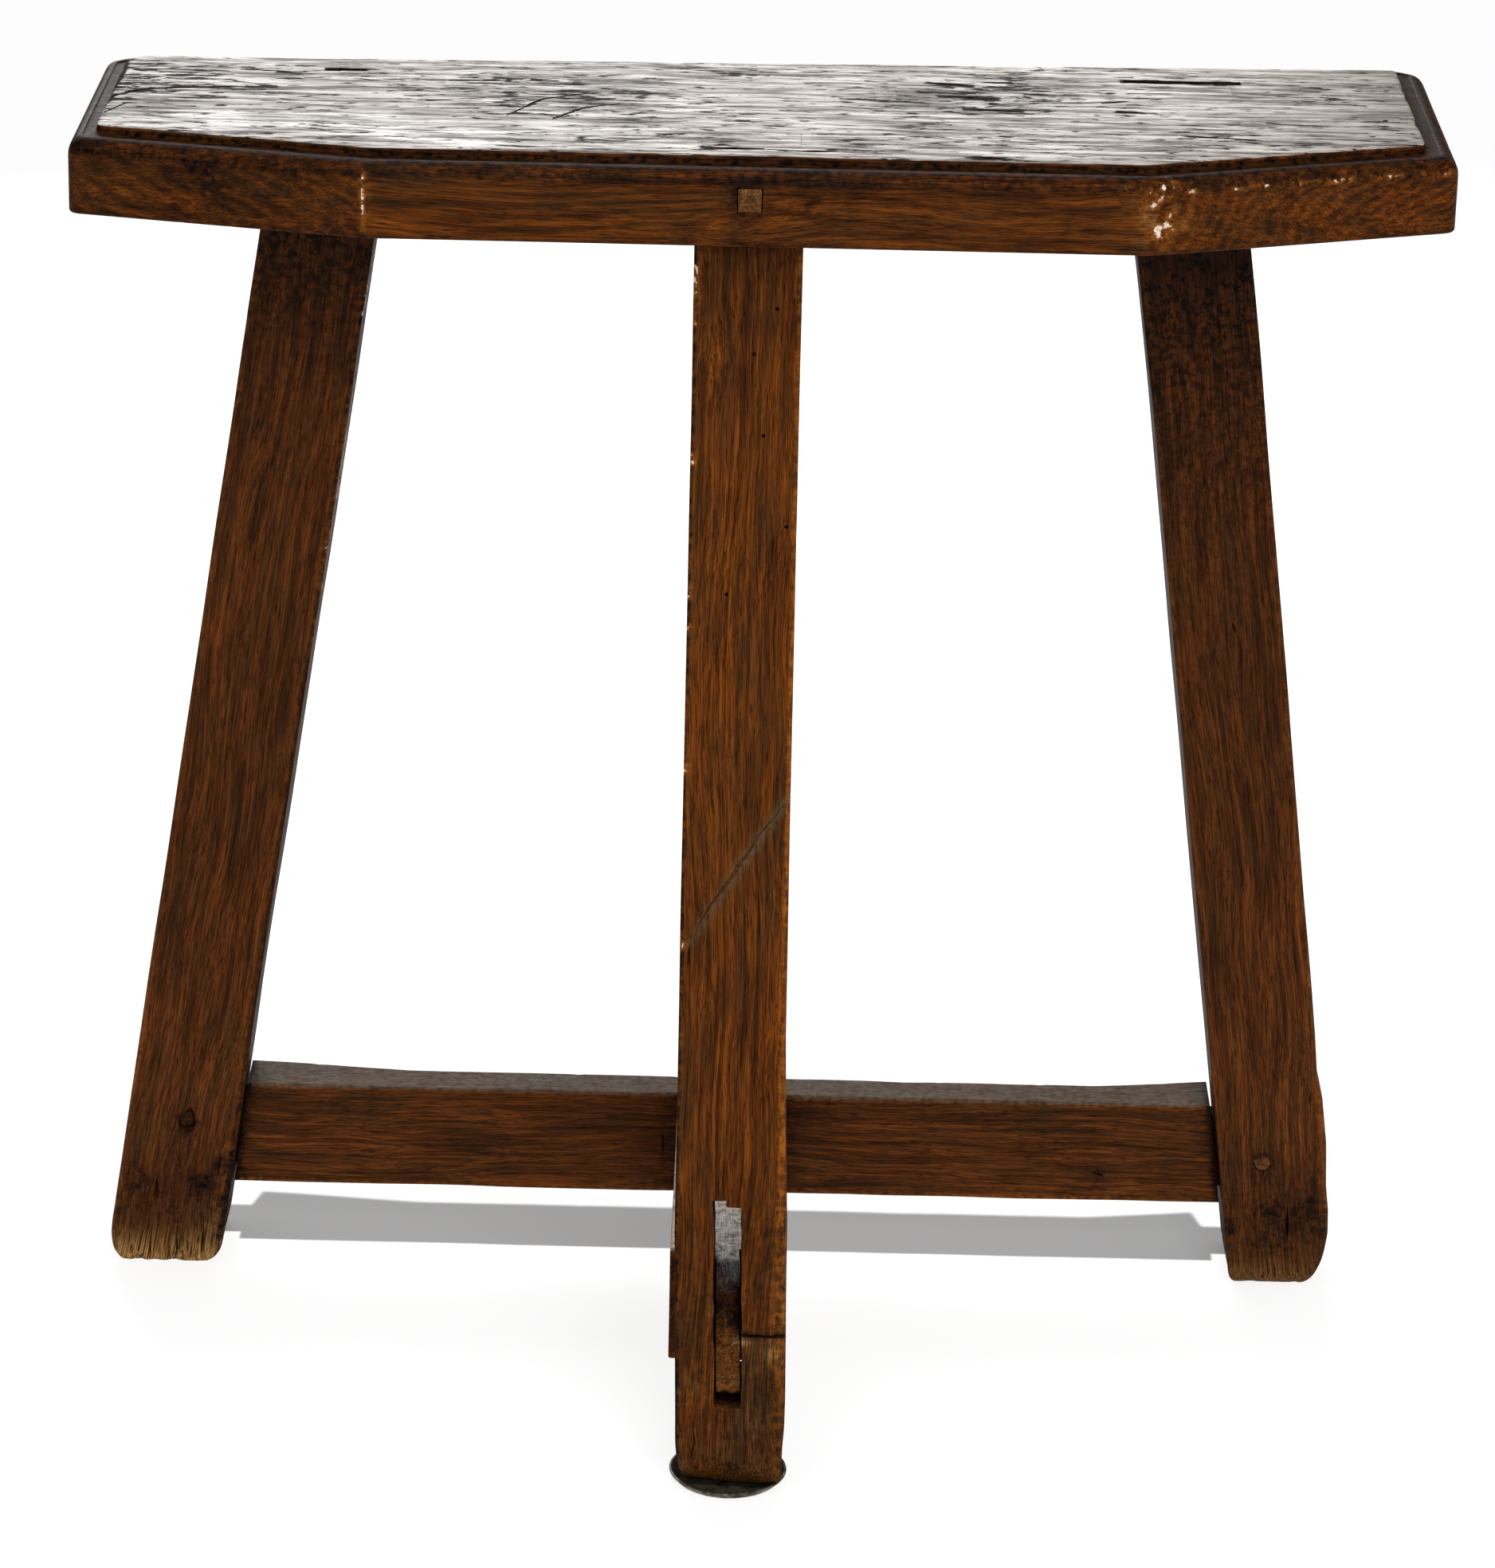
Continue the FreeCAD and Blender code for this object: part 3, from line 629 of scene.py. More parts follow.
@dataclass(frozen=True)
class OakFinish(Finish):
    """Old oak, hand-planed, darkened and waxed: warm brown with darker rings, fibres and open pores.

    It gives the eye fine streaks along each timber, real end grain where a face cuts across it, pale worn arrises
    with painted glints on them, black dirt with painted shade under the seat, in the slots and in corners, ochre
    bare wood where the feet scrape the floor, and a scuff colour that on the rails' tops is partly a painted
    sheen.
    """

    grain: Grain
    deep: str = "#120801"
    body: str = "#4f2506"
    warm: str = "#8f4a10"
    edge: str = "#b0651f"
    # glint is the colour of painted glints: near-white highlights where the worn edge reaches 0.75 and more.
    glint: str = "#f6ead6"
    # Near black, for dirt and for painted shade.
    grime_and_shade: str = "#080402"
    bare: str = "#c79a5c"
    # Scuff colour, which on the rails' tops also stands for a painted sheen.
    scuff: str = "#5d5038"
    film: str = "#3a2c16"
    film_share: float = 0.35
    blotch_mm: float = 7.0
    blotch_length_mm: float = 60.0
    blotch_share: float = 0.5
    ring_mm: float = 3.2
    ring_share: float = 0.3
    fibre_mm: float = 0.7
    fibre_length_mm: float = 40.0
    streak_mm: float = 1.7
    streak_length_mm: float = 160.0
    warp_m: Place = (0.022, 0.022, 0.0)
    relief_mm: float = 0.45
    roughness: float = 0.46
    gloss: float = 0.06

    def material(self) -> Material:
        """Build the material.

        Returns:
            The material.
        """
        made, nodes, where = self.begun()
        grain = add(nodes.tree, "Mapping", {"vector_type": "TEXTURE"}, {
            "Vector": where,
            "Location": [value * MM for value in self.grain.place_mm],
            "Rotation": [math.radians(value) for value in self.grain.turn_degrees],
        }).outputs["Vector"]
        bent = self.warped(nodes, grain)
        fibres = nodes.noise(bent, (self.fibre_mm, self.fibre_mm, self.fibre_length_mm), 5.0)
        pores = nodes.noise(bent, (self.fibre_mm * 0.6, self.fibre_mm * 0.6, self.fibre_length_mm * 0.35), 2.0)
        streaks = nodes.noise(bent, (self.streak_mm, self.streak_mm, self.streak_length_mm), 2.5)
        blotches = nodes.noise(bent, (self.blotch_mm, self.blotch_mm, self.blotch_length_mm), 4.0, 0.55)
        color = self.wood(nodes, self.rings(nodes, bent), streaks, fibres, pores, blotches)
        color = self.weathered(nodes, color, where, bent, fibres)
        dents = nodes.noise(where, (8.0, 8.0, 8.0), 3.0)
        height = nodes.plus(nodes.plus(fibres, dents), nodes.ranged(pores, 0.34, 0.46))
        nodes.ended({
            "Base Color": color, "Specular IOR Level": self.gloss,
            "Roughness": nodes.ranged(fibres, 0.3, 0.7, self.roughness - 0.1, self.roughness + 0.16),
            "Normal": nodes.bumped(height, self.relief_mm)})
        return made

    def warped(self, nodes: Nodes, grain: Socket) -> Socket:
        """Bend the grain sideways by a few millimetres, slowly along the timber.

        Args:
            nodes: the material's nodes.
            grain: the timber's own coordinates.

        Returns:
            The bent coordinates.
        """
        slow = add(nodes.tree, "Mapping", None, {"Vector": grain, "Scale": (20.0, 20.0, 5.0)}).outputs["Vector"]
        noise = add(nodes.tree, "TexNoise", None, {"Vector": slow, "Scale": 1.0, "Detail": 2.0}).outputs["Color"]
        centred = nodes.moved("SUBTRACT", noise, (0.5, 0.5, 0.5))
        return nodes.moved("ADD", grain, nodes.moved("MULTIPLY", centred, self.warp_m))

    def rings(self, nodes: Nodes, grain: Socket) -> Socket:
        """Make growth rings: the part of a ring's width that the distance from the pith leaves over.

        Args:
            nodes: the material's nodes.
            grain: the bent coordinates.

        Returns:
            A wave from 0 to a half and back for each ring.
        """
        pith = (self.grain.pith_mm[0] * MM, self.grain.pith_mm[1] * MM, 0.0)
        flat = nodes.moved("MULTIPLY", nodes.moved("SUBTRACT", grain, pith), (1.0, 1.0, 0.03))
        distance = add(nodes.tree, "VectorMath", {"operation": "LENGTH"}, {0: flat}).outputs["Value"]
        return nodes.combined("PINGPONG", nodes.combined("DIVIDE", distance, self.ring_mm * MM), 0.5)

    def wood(self, nodes: Nodes, rings: Socket, streaks: Socket, fibres: Socket, pores: Socket,
             blotches: Socket) -> Socket:
        """Mix the wood: body to warm by the streaks, then deep brown by rings, fibres, blotches and pores.

        Args:
            nodes: the material's nodes.
            rings: the growth rings.
            streaks: noise of broad streaks.
            fibres: noise of fine fibres.
            pores: noise of open pores.
            blotches: noise of dark patches.

        Returns:
            The colour.
        """
        color = nodes.mixed(nodes.ranged(streaks, 0.32, 0.66), self.body, self.warm)
        ringed = nodes.times(nodes.ranged(rings, 0.05, 0.4, self.ring_share, 0.0),
                                nodes.ranged(blotches, 0.38, 0.58, 1.0, 0.5))
        color = nodes.mixed(ringed, color, self.deep)
        for value, low, high, share in (
                (fibres, 0.38, 0.58, 0.45), (blotches, 0.34, 0.54, self.blotch_share), (pores, 0.36, 0.44, 0.7)):
            color = nodes.mixed(nodes.ranged(value, low, high, share, 0.0), color, self.deep)
        return color

    def weathered(self, nodes: Nodes, color: Socket, where: Socket, grain: Socket, fibres: Socket) -> Socket:
        """Lay on an olive film in patches, scuffs with painted sheen, worn edges, bare wood, dirt with painted
        shade, and painted glints.

        Args:
            nodes: the material's nodes.
            color: the wood's colour.
            where: the object's coordinates.
            grain: the bent ones.
            fibres: noise of fine fibres.

        Returns:
            The colour with all of it.
        """
        edge, grime_and_shade, bare, scuff = nodes.wear()
        patches = nodes.noise(grain, (14.0, 14.0, 60.0), 5.0, 0.65)
        spots = nodes.noise(where, (3.6, 3.6, 3.6), 3.0)
        color = nodes.mixed(nodes.ranged(patches, 0.42, 0.66, 0.0, self.film_share), color, self.film)
        # Scuffing, which on the rails' tops is partly a painted sheen, then worn edges and bare wood.
        for amount, broken, other in (
                (scuff, nodes.ranged(spots, 0.35, 0.6, 0.25, 1.0), self.scuff),
                (edge, nodes.ranged(spots, 0.42, 0.62, 0.15, 0.9), self.edge),
                (bare, nodes.ranged(fibres, 0.42, 0.56), self.bare)):
            color = nodes.mixed(nodes.times(amount, broken), color, other)
        # Near black for dirt and for painted shade.
        dirt_and_shade = nodes.times(grime_and_shade, nodes.ranged(spots, 0.4, 0.58, 1.0, 0.45))
        dirt_and_shade = nodes.most(dirt_and_shade, nodes.ranged(grime_and_shade, 0.85, 1.0, 0.0, 0.78))
        color = nodes.mixed(dirt_and_shade, color, self.grime_and_shade)
        # Painted glints: near-white highlights where the worn edge reaches 0.75 and more.
        shining = nodes.times(nodes.ranged(edge, 0.75, 0.95), nodes.ranged(spots, 0.54, 0.6))
        return nodes.mixed(shining, color, self.glint)


@dataclass(frozen=True)
class RubbedTopFinish(Finish):
    """The seat's top: waxed oak rubbed to a grey skin that takes a broad sheen and a painted white sheen, broken
    by pits along the grain.

    It gives the eye lilac-grey streaks, their grey partly a painted reflection of the white room, with short black
    checks, brown patches where the wood lies open, and rough places where the checks crowd together.
    """

    # pale and dull are the grey of dust and wax, and partly a painted reflection of the white room.
    pale: str = "#b0a69c"
    dull: str = "#66594c"
    brown: str = "#3f2a18"
    pit: str = "#0e0704"
    # Painted sheen: the near-white of a painted reflection, where the painted sheen mask is high.
    sheen_white: str = "#f4f1ee"
    streak_mm: Place = (55.0, 6.5, 6.5)
    check_mm: Place = (13.0, 3.2, 3.2)
    hair_mm: Place = (36.0, 1.9, 1.9)
    crowd_mm: Place = (60.0, 40.0, 40.0)
    relief_mm: float = 0.8
    roughness: float = 0.4
    gloss: float = 0.45

    def material(self) -> Material:
        """Build the material.

        Returns:
            The material.
        """
        made, nodes, where = self.begun()
        _, grime_and_shade, worn, painted_sheen = nodes.wear()
        streaks = nodes.noise(where, self.streak_mm, 5.0, 0.65)
        hairs = nodes.noise(where, self.hair_mm, 4.0, 0.65)
        crowd = nodes.noise(where, self.crowd_mm, 2.0, 0.5)
        rough = nodes.plus(nodes.ranged(crowd, 0.35, 0.68, 0.03, -0.05),
                               nodes.ranged(grime_and_shade, 0.0, 1.0, 0.0, -0.14))
        checks = nodes.plus(nodes.noise(where, self.check_mm, 3.0, 0.6), rough)
        color = nodes.mixed(nodes.ranged(streaks, 0.4, 0.56), self.dull, self.pale)
        # Painted sheen: near-white painted reflection, broken by the streaks.
        sheen_share = nodes.times(painted_sheen, nodes.ranged(streaks, 0.42, 0.54, 0.1, 1.0))
        color = nodes.mixed(sheen_share, color, self.sheen_white)
        opened = nodes.most(nodes.ranged(crowd, 0.54, 0.66, 0.0, 0.6), worn)
        opened = nodes.times(opened, nodes.ranged(streaks, 0.6, 0.44))
        color = nodes.mixed(opened, color, self.brown)
        color = nodes.mixed(nodes.ranged(hairs, 0.36, 0.47, 0.75, 0.0), color, self.pit)
        sunk = nodes.most(nodes.ranged(checks, 0.36, 0.41, 0.96, 0.0),
                              nodes.ranged(grime_and_shade, 0.7, 0.9))
        color = nodes.mixed(sunk, color, self.pit)
        dull = nodes.most(sunk, nodes.ranged(hairs, 0.38, 0.48, 1.0, 0.0))
        smooth = nodes.ranged(streaks, 0.35, 0.65, self.roughness + 0.2, self.roughness - 0.12)
        dents = nodes.noise(where, (26.0, 9.0, 9.0), 4.0, 0.6)
        height = nodes.plus(nodes.plus(dents, hairs), nodes.ranged(checks, 0.34, 0.44))
        nodes.ended({
            "Base Color": color, "Specular IOR Level": self.gloss,
            "Roughness": nodes.most(smooth, dull),
            "Normal": nodes.bumped(height, self.relief_mm)})
        return made


@dataclass(frozen=True)
class MetalFinish(Finish):
    """Pressed steel or drawn iron: dull, tarnished brown in patches, with a rubbed lighter skin between."""

    metal: str
    tarnish: str
    roughness: float = 0.42
    patch_mm: float = 9.0

    def material(self) -> Material:
        """Build the material.

        Returns:
            The material.
        """
        made, nodes, where = self.begun()
        patches = nodes.noise(where, (self.patch_mm,) * 3, 6.0, 0.7)
        nodes.ended({
            "Base Color": nodes.mixed(nodes.ranged(patches, 0.4, 0.6), self.metal, self.tarnish),
            "Roughness": nodes.ranged(patches, 0.35, 0.65, self.roughness - 0.08, self.roughness + 0.25),
            "Metallic": 0.9, "Normal": nodes.bumped(patches, 0.2)})
        return made


# Timbers

@dataclass(frozen=True)
class Plane:
    """A flat end: a point on it and the way out of it."""

    point: Place
    normal: Place = UP

    @classmethod
    def across(cls, axis: int, at: float) -> "Plane":
        """Make the plane square to an axis at a place on it."""
        return cls(*(tuple(value if axis == one else 0.0 for one in range(3)) for value in (at, 1.0)))

    def reach(self, starts: Array, way: Array) -> Array:
        """Give how far along a way each line from its start meets the plane."""
        normal = np.asarray(self.normal, float)
        return ((np.asarray(self.point, float) - starts) @ normal) / float(way @ normal)


@dataclass(frozen=True)
class Tenon:
    """A tongue at a timber's end: its half sizes, its offset from the timber's middle, and its end."""

    half: Pair
    offset: Pair
    end: Plane


@dataclass(frozen=True)
class Paring:
    """Wood worn from a foot on one side: how deep at the floor, and how far up it starts."""

    way: Pair
    depth: float
    height: float


class Side(Enum):
    """A side of a timber, with its outward way across the section."""

    RIGHT = (1.0, 0.0)
    LEFT = (-1.0, 0.0)
    BACK = (0.0, 1.0)
    FRONT = (0.0, -1.0)


@dataclass
class Timber:
    """A squared timber with worn arrises, hand-planed faces, shoulders and tenons.

    Its section stands on two axes and is carried along a third, the columns of its turn. A ring at a share f
    of the length lies where each line of the section has gone (1 - f) of the way from its first end plane
    and f of the way to its last, so that the ends and all rings between lean as the shoulders do.
    """

    name: str
    foot: Place
    turn: Array
    half: Pair
    start: Plane
    end: Plane
    first_tenon: Tenon | None = None
    last_tenon: Tenon | None = None
    arris_mm: Pair = (1.2, 3.4)
    wave_mm: float = 0.35
    step_mm: float = 3.2
    fine_mm: float = 0.9
    seed: int = 1
    swells: dict[Side, Pairs] = field(default_factory=dict)
    bend: Pairs = ((0.0, 0.0), (1.0, 0.0))
    parings: tuple[Paring, ...] = ()
    ragged_mm: float = 0.0

    def world(self, section: Array, way: Array) -> Array:
        """Place points of the section, each gone a way along the timber."""
        return (np.asarray(self.foot) + section[..., :1] * self.turn[:, 0] + section[..., 1:] * self.turn[:, 1]
                + way[..., None] * self.turn[:, 2])

    def local(self, points: Array) -> Array:
        """Give points in the timber's own axes."""
        return (points - np.asarray(self.foot)) @ self.turn

    def ways(self, section: Array, share: Array, first: Plane, last: Plane) -> Array:
        """Give how far along the timber each ring's points lie.

        Args:
            section: each ring's points across the timber.
            share: how far along each lies, 0 to 1.
            first: the plane at 0.
            last: the plane at 1.

        Returns:
            Millimetres along the timber.
        """
        starts = self.world(section, np.zeros(section.shape[:-1]))
        low = first.reach(starts, self.turn[:, 2])
        high = last.reach(starts, self.turn[:, 2])
        return (1.0 - share) * low + share * high

    def shank(self, outline: Array) -> Array:
        """Make the rings between the shoulders, with rounded arrises, planed waves, swells and foot wear.

        Args:
            outline: the ring of points round the section.

        Returns:
            The rings, in space.
        """
        low = self.ways(outline, np.zeros(len(outline)), self.start, self.end)
        length = float(np.mean(self.ways(outline, np.ones(len(outline)), self.start, self.end) - low))
        places = graded(length, 1.1, self.step_mm, 17.0)
        share = (places / length)[:, None] * np.ones(len(outline))
        section = np.broadcast_to(outline, (*share.shape, 2)).copy()
        nominal = self.world(section, self.ways(section, share, self.start, self.end))
        worn = sway(self.seed, nominal, (30.0, 30.0, 26.0))
        nicks = mottle(self.seed + 1, nominal, (6.0, 6.0, 7.0), 0.55)
        radius = self.arris_mm[0] + (self.arris_mm[1] - self.arris_mm[0]) * worn ** 2 + 4.5 * nicks
        section, out = self.eased(section, radius)
        section += out * (self.wave_mm * Unevenness(self.seed + 2).at(nominal, (38.0, 38.0, 60.0)))[..., None]
        along = self.local(nominal)[..., 2]
        for side, pairs in self.swells.items():
            section += self.facing(section, side.value, 1.0, np.interp(along, *zip(*pairs)))
        close = np.exp(-places / 22.0)[:, None]
        crags = mottle(self.seed + 3, nominal, (3.4, 3.4, 13.0))
        section -= out * (self.ragged_mm * close * crags)[..., None]
        for paring in self.parings:
            short = np.clip(1.0 - places / paring.height, 0.0, 1.0)[:, None]
            section -= self.facing(section, paring.way, 1.5, paring.depth * (1.0 - np.sqrt(1.0 - short ** 2)))
        section[..., 0] += np.interp(along, *zip(*self.bend))
        return self.world(section, self.ways(section, share, self.start, self.end))

    def facing(self, section: Array, way: Pair, power: float,
               amount: Array) -> Array:
        """Give a move along a way across the section, whole at that side and fading to nothing at the middle.

        Args:
            section: the points across the timber.
            way: the way of the move.
            power: how soon it fades.
            amount: the whole move.

        Returns:
            A move for each point.
        """
        across = np.asarray(way)
        reach = float(np.abs(across) @ np.asarray(self.half))
        fade = np.clip(section @ across / reach, 0.0, 1.0) ** power
        return (fade * amount)[..., None] * across

    def eased(self, section: Array, radius: Array) -> tuple[Array, Array]:
        """Round the arrises: the nearest place on the rectangle drawn in by the radius, and the radius out.

        Args:
            section: the points across the timber.
            radius: the rounding at each.

        Returns:
            The rounded points, and the way out at each.
        """
        inner = np.asarray(self.half) - radius[..., None]
        nearest = np.clip(section, -inner, inner)
        out = section - nearest
        out = out / np.maximum(np.linalg.norm(out, axis=-1, keepdims=True), 1e-6)
        return nearest + out * radius[..., None], out

    def tongue(self, outline: Array, tenon: Tenon, shoulder: Plane) -> Array:
        """Make a tenon's rings, from the shoulder to its end.

        Args:
            outline: the ring of points round the section.
            tenon: the tenon.
            shoulder: the plane that it stands on.

        Returns:
            The rings, in space.
        """
        section = outline * np.asarray(tenon.half) / np.asarray(self.half) + np.asarray(tenon.offset)
        places = np.concatenate([np.linspace(0.0, 0.97, 10), [0.99, 1.0]])
        share = places[:, None] * np.ones(len(outline))
        section = np.broadcast_to(section, (*share.shape, 2)).copy()
        way = self.ways(section, share, shoulder, tenon.end)
        out = np.sign(section - np.asarray(tenon.offset))
        section -= out * np.where(share > 0.995, 0.05, 0.0)[..., None]
        return self.world(section, way)

    def skin(self) -> Skin:
        """Make the whole closed skin.

        Returns:
            The shank with the tenons that it has.
        """
        outline = rectangle_ring(self.half, self.fine_mm, self.step_mm, 5.0)
        rings = [self.shank(outline)]
        if self.last_tenon:
            rings.append(self.tongue(outline, self.last_tenon, self.end))
        if self.first_tenon:
            rings.insert(0, self.tongue(outline, self.first_tenon, self.start)[::-1])
        return ring_skin(capped(np.concatenate(rings)))

    def arris_wear(self, points: Array, reach: float = 1.7) -> Array:
        """Give how near each point is to an arris: exp of minus its squared distance from it.

        Args:
            points: the places to read.
            reach: how far the wear spreads.

        Returns:
            One value for each point.
        """
        section = np.abs(self.local(points)[:, :2])
        gap = np.clip(np.asarray(self.half) - section, 0.0, None)
        return np.exp(-np.sum(gap ** 2, axis=1) / (2.0 * reach ** 2))


ALONG_X = np.array([[0.0, 0.0, 1.0], [1.0, 0.0, 0.0], [0.0, 1.0, 0.0]])
ALONG_Y = np.array([[0.0, 1.0, 0.0], [0.0, 0.0, 1.0], [1.0, 0.0, 0.0]])


@dataclass
class Stance:
    """What the seat, the legs and the rails share: heights, and where each leg stands and leans."""

    top: float = 658.0
    underside: float = 618.0
    front_foot: Place = (-1.85, -125.17, 0.0)
    left_foot: Place = (-306.38, 129.83, 0.0)
    right_foot: Place = (294.87, 129.83, 0.0)
    front_half: Pair = (26.0, 26.25)
    rear_half: Pair = (28.25, 28.5)
    front_lean: float = -8.8
    rear_lean: float = 3.42
    left_splay: float = 8.86
    right_splay: float = -7.56
    tenon_half: float = 13.0
    side_shoulder: float = 2.5
    front_setback: float = 2.5
    left_setback: float = 2.5
    right_setback: float = 14.0
    rail_bottom: float = 45.0
    rail_top: float = 102.0
    gap: float = 0.2
    shoulder_gap: float = 0.9
    slot_drift: Pairs = ((44.0, 2.1), (140.0, 0.0))
    gaps: dict[str, tuple[Pair, Pair]] = field(default_factory=lambda: {
        "left_rear_leg": ((-213.0, 86.0), (-193.0, 90.6)), "right_rear_leg": ((181.0, 98.0), (239.0, 104.0))})

    def leg(self, name: str, foot: Place, tilt: Pair, half: Pair,
            setback: float, low: float, **looks: object) -> Timber:
        """Set out a leg between level planes, with its tenon up through the seat.

        Args:
            name: the piece's name.
            foot: where its axis meets the floor.
            tilt: its turns about Y and then about its own X, in degrees.
            half: half of its width and depth.
            setback: the front shoulder of its tenon.
            low: the height of its lower end.
            looks: wear and bends, as fields of a timber.

        Returns:
            The timber.
        """
        splay, lean = (math.radians(angle) for angle in tilt)
        turn = np.array((Matrix.Rotation(splay, 4, "Y") @ Matrix.Rotation(lean, 4, "X")).to_3x3())
        tenon = Tenon((half[0] - self.side_shoulder, self.tenon_half),
                      (0.0, setback + self.tenon_half - half[1]), Plane.across(2, self.top))
        return Timber(name, foot, turn, half, Plane.across(2, low), Plane.across(2, self.underside),
                      last_tenon=tenon, **looks)

    def mortise(self, leg: Timber, slack: float) -> Skin:
        """Make the cutter of a leg's mortise through the seat: the tenon with slack all round it.

        Args:
            leg: the leg.
            slack: the gap all round.

        Returns:
            The skin.
        """
        tenon = leg.last_tenon
        outline = rectangle_ring((tenon.half[0] + slack, tenon.half[1] + slack), 2.0, 4.0, 4.0)
        shares = np.linspace(0.0, 1.0, 12)[:, None] * np.ones(len(outline))
        section = np.broadcast_to(outline + np.asarray(tenon.offset), (*shares.shape, 2))
        low, high = Plane.across(2, self.underside - 6.0), Plane.across(2, self.top + 6.0)
        rings = leg.world(section, leg.ways(section, shares, low, high))
        return ring_skin(rings)

    def joints(self) -> dict[str, Skin]:
        """Make the cutters of the gaps that opened behind the rear legs' tenons, by the leg's name."""
        return {name: rough_box((*low, self.top - 7.0), (*high, self.top + 4.0), 2.0, 0.8, 90 + at)
                for at, (name, (low, high)) in enumerate(self.gaps.items())}

    def gap_darkening(self, points: Array) -> Array:
        """Mark the insides of those gaps near the top, to be darkened.

        Args:
            points: the places to read.

        Returns:
            One value for each point.
        """
        marks = np.zeros(len(points))
        for low, high in self.gaps.values():
            near = np.all((points[:, :2] > np.array(low) - 1.2) & (points[:, :2] < np.array(high) + 1.2), axis=1)
            marks += near * (points[:, 2] > self.top - 9.0)
        return marks

    def rubbed(self, points: Array) -> Array:
        """Give how far the seat's top has been rubbed down at each point, with the tenons in it.

        Args:
            points: the places to read.

        Returns:
            Millimetres down.
        """
        high = np.clip((points[..., 2] - self.top + 1.3) / 1.3, 0.0, 1.0)
        dips = sway(40, points, (70.0, 34.0, 50.0))
        pits = mottle(41, points, (22.0, 3.4, 9.0), 0.35)
        return high * (0.45 * dips + 0.75 * pits)

    def drift(self, height: Array) -> Array:
        """Give how far the front leg's slot has drifted to the right at a height."""
        return np.interp(height, *zip(*self.slot_drift))


# The pieces

@dataclass
class Seat:
    """The plank: clipped corners, a raised field, a sunk band and a rounded edge below it.

    Its outline is drawn in by each inset of the moulding's profile, side by side, and the rings so made are
    closed above and below by grids of straight lines from the front chain of points to the back one.
    """

    stance: Stance
    left: float = -325.05
    right: float = 334.95
    front: float = -81.0
    back_left: float = 124.0
    back_right: float = 156.0
    left_clip: Pair = (142.0, 33.0)
    right_clip: Pair = (148.0, 54.0)
    back_clip: Pair = (12.0, 10.0)
    inset_shares: tuple[float, ...] = (1.0, 1.0, 1.0, 0.88, 1.0, 1.0, 1.0, 0.71)
    field_inset: float = 17.6
    quirk: float = 3.5
    lip_inset: float = 8.9
    ovolo: float = 8.6
    lower_arris: float = 2.0
    front_counts: tuple[int, int, int] = (60, 150, 62)
    back_counts: tuple[int, int, int] = (6, 260, 6)
    end_count: int = 58
    seed: int = 40
    crack_lines: Lines = (
        (((-313.3, 12.0), (-310.5, 24.0), (-305.0, 33.0), (-295.9, 39.7), (-273.2, 45.1),
          (-236.0, 51.0)), 2.6, 4.0),
        (((-311.0, -8.0), (-302.5, 12.0)), 1.4, 3.0),
        (((-24.0, -50.4), (2.6, -50.0)), 5.0, 6.0),
        (((3.0, -50.6), (22.0, -52.2)), 1.8, 4.0),
        (((21.5, -52.6), (36.0, -51.4)), 4.6, 5.0),
        (((175.0, 37.8), (187.0, 36.8)), 5.0, 4.0),
        (((168.0, 54.6), (181.0, 59.0)), 3.4, 3.0),
        (((103.0, -56.6), (117.0, -57.4)), 5.0, 4.0),
        (((-150.0, 71.0), (-121.0, 73.0)), 2.6, 3.0),
        (((40.0, 52.0), (73.0, 49.0)), 2.6, 3.0),
        (((206.0, -8.0), (238.0, -12.0)), 2.6, 3.0),
        (((246.0, 21.0), (286.0, 17.0)), 2.2, 3.0),
        (((-120.0, 4.0), (-104.0, 38.0), (-76.0, 55.0)), 1.6, 3.0),
        (((-98.0, -2.0), (-84.0, 22.0), (-66.0, 33.0)), 1.4, 3.0),
        (((84.0, 88.0), (104.0, 84.0)), 4.0, 3.0),
        (((90.0, 62.0), (116.0, 58.0)), 3.6, 3.0),
        (((102.0, 36.0), (128.0, 34.0)), 3.6, 3.0),
        (((-250.0, 84.0), (-226.0, 80.0)), 2.6, 3.0),
    )
    round_holes: tuple[Place, ...] = ((304.5, 32.3, 2.6), (-86.0, 8.0, 1.8), (131.0, 66.0, 1.7))
    peg_holes: tuple[tuple[Place, Place], ...] = (
        ((-7.8, -90.0, 634.9), (4.2, -14.0, 646.8)), ((-212.3, 55.0, 635.1), (-200.9, 140.0, 646.5)),
        ((204.1, 66.0, 635.1), (215.5, 160.0, 646.5)))

    def corners(self) -> Array:
        """Give the outline's corners, from the left end's front one round by the right.

        Returns:
            Eight corners as x and y.
        """
        slope = (self.back_right - self.back_left) / (self.right - self.left)
        across, deep = self.back_clip
        return np.array([
            (self.left, self.front + self.left_clip[1]),
            (self.left + self.left_clip[0], self.front),
            (self.right - self.right_clip[0], self.front),
            (self.right, self.front + self.right_clip[1]),
            (self.right, self.back_right - deep),
            (self.right - across, self.back_right - across * slope),
            (self.left + across, self.back_left + across * slope),
            (self.left, self.back_left - deep),
        ])

    def inset_corners(self, inset: float) -> Array:
        """Move each side in by an inset, and give where neighbouring sides then cross.

        Args:
            inset: how far in.

        Returns:
            Eight corners as x and y.
        """
        corners = self.corners()
        along = np.roll(corners, -1, axis=0) - corners
        along /= np.linalg.norm(along, axis=1, keepdims=True)
        inward = np.stack([-along[:, 1], along[:, 0]], axis=1)
        reach = np.sum(inward * corners, axis=1) + inset * np.asarray(self.inset_shares)
        crossed = [np.linalg.solve(inward[[side - 1, side]], reach[[side - 1, side]])
                   for side in range(len(corners))]
        return np.array(crossed)

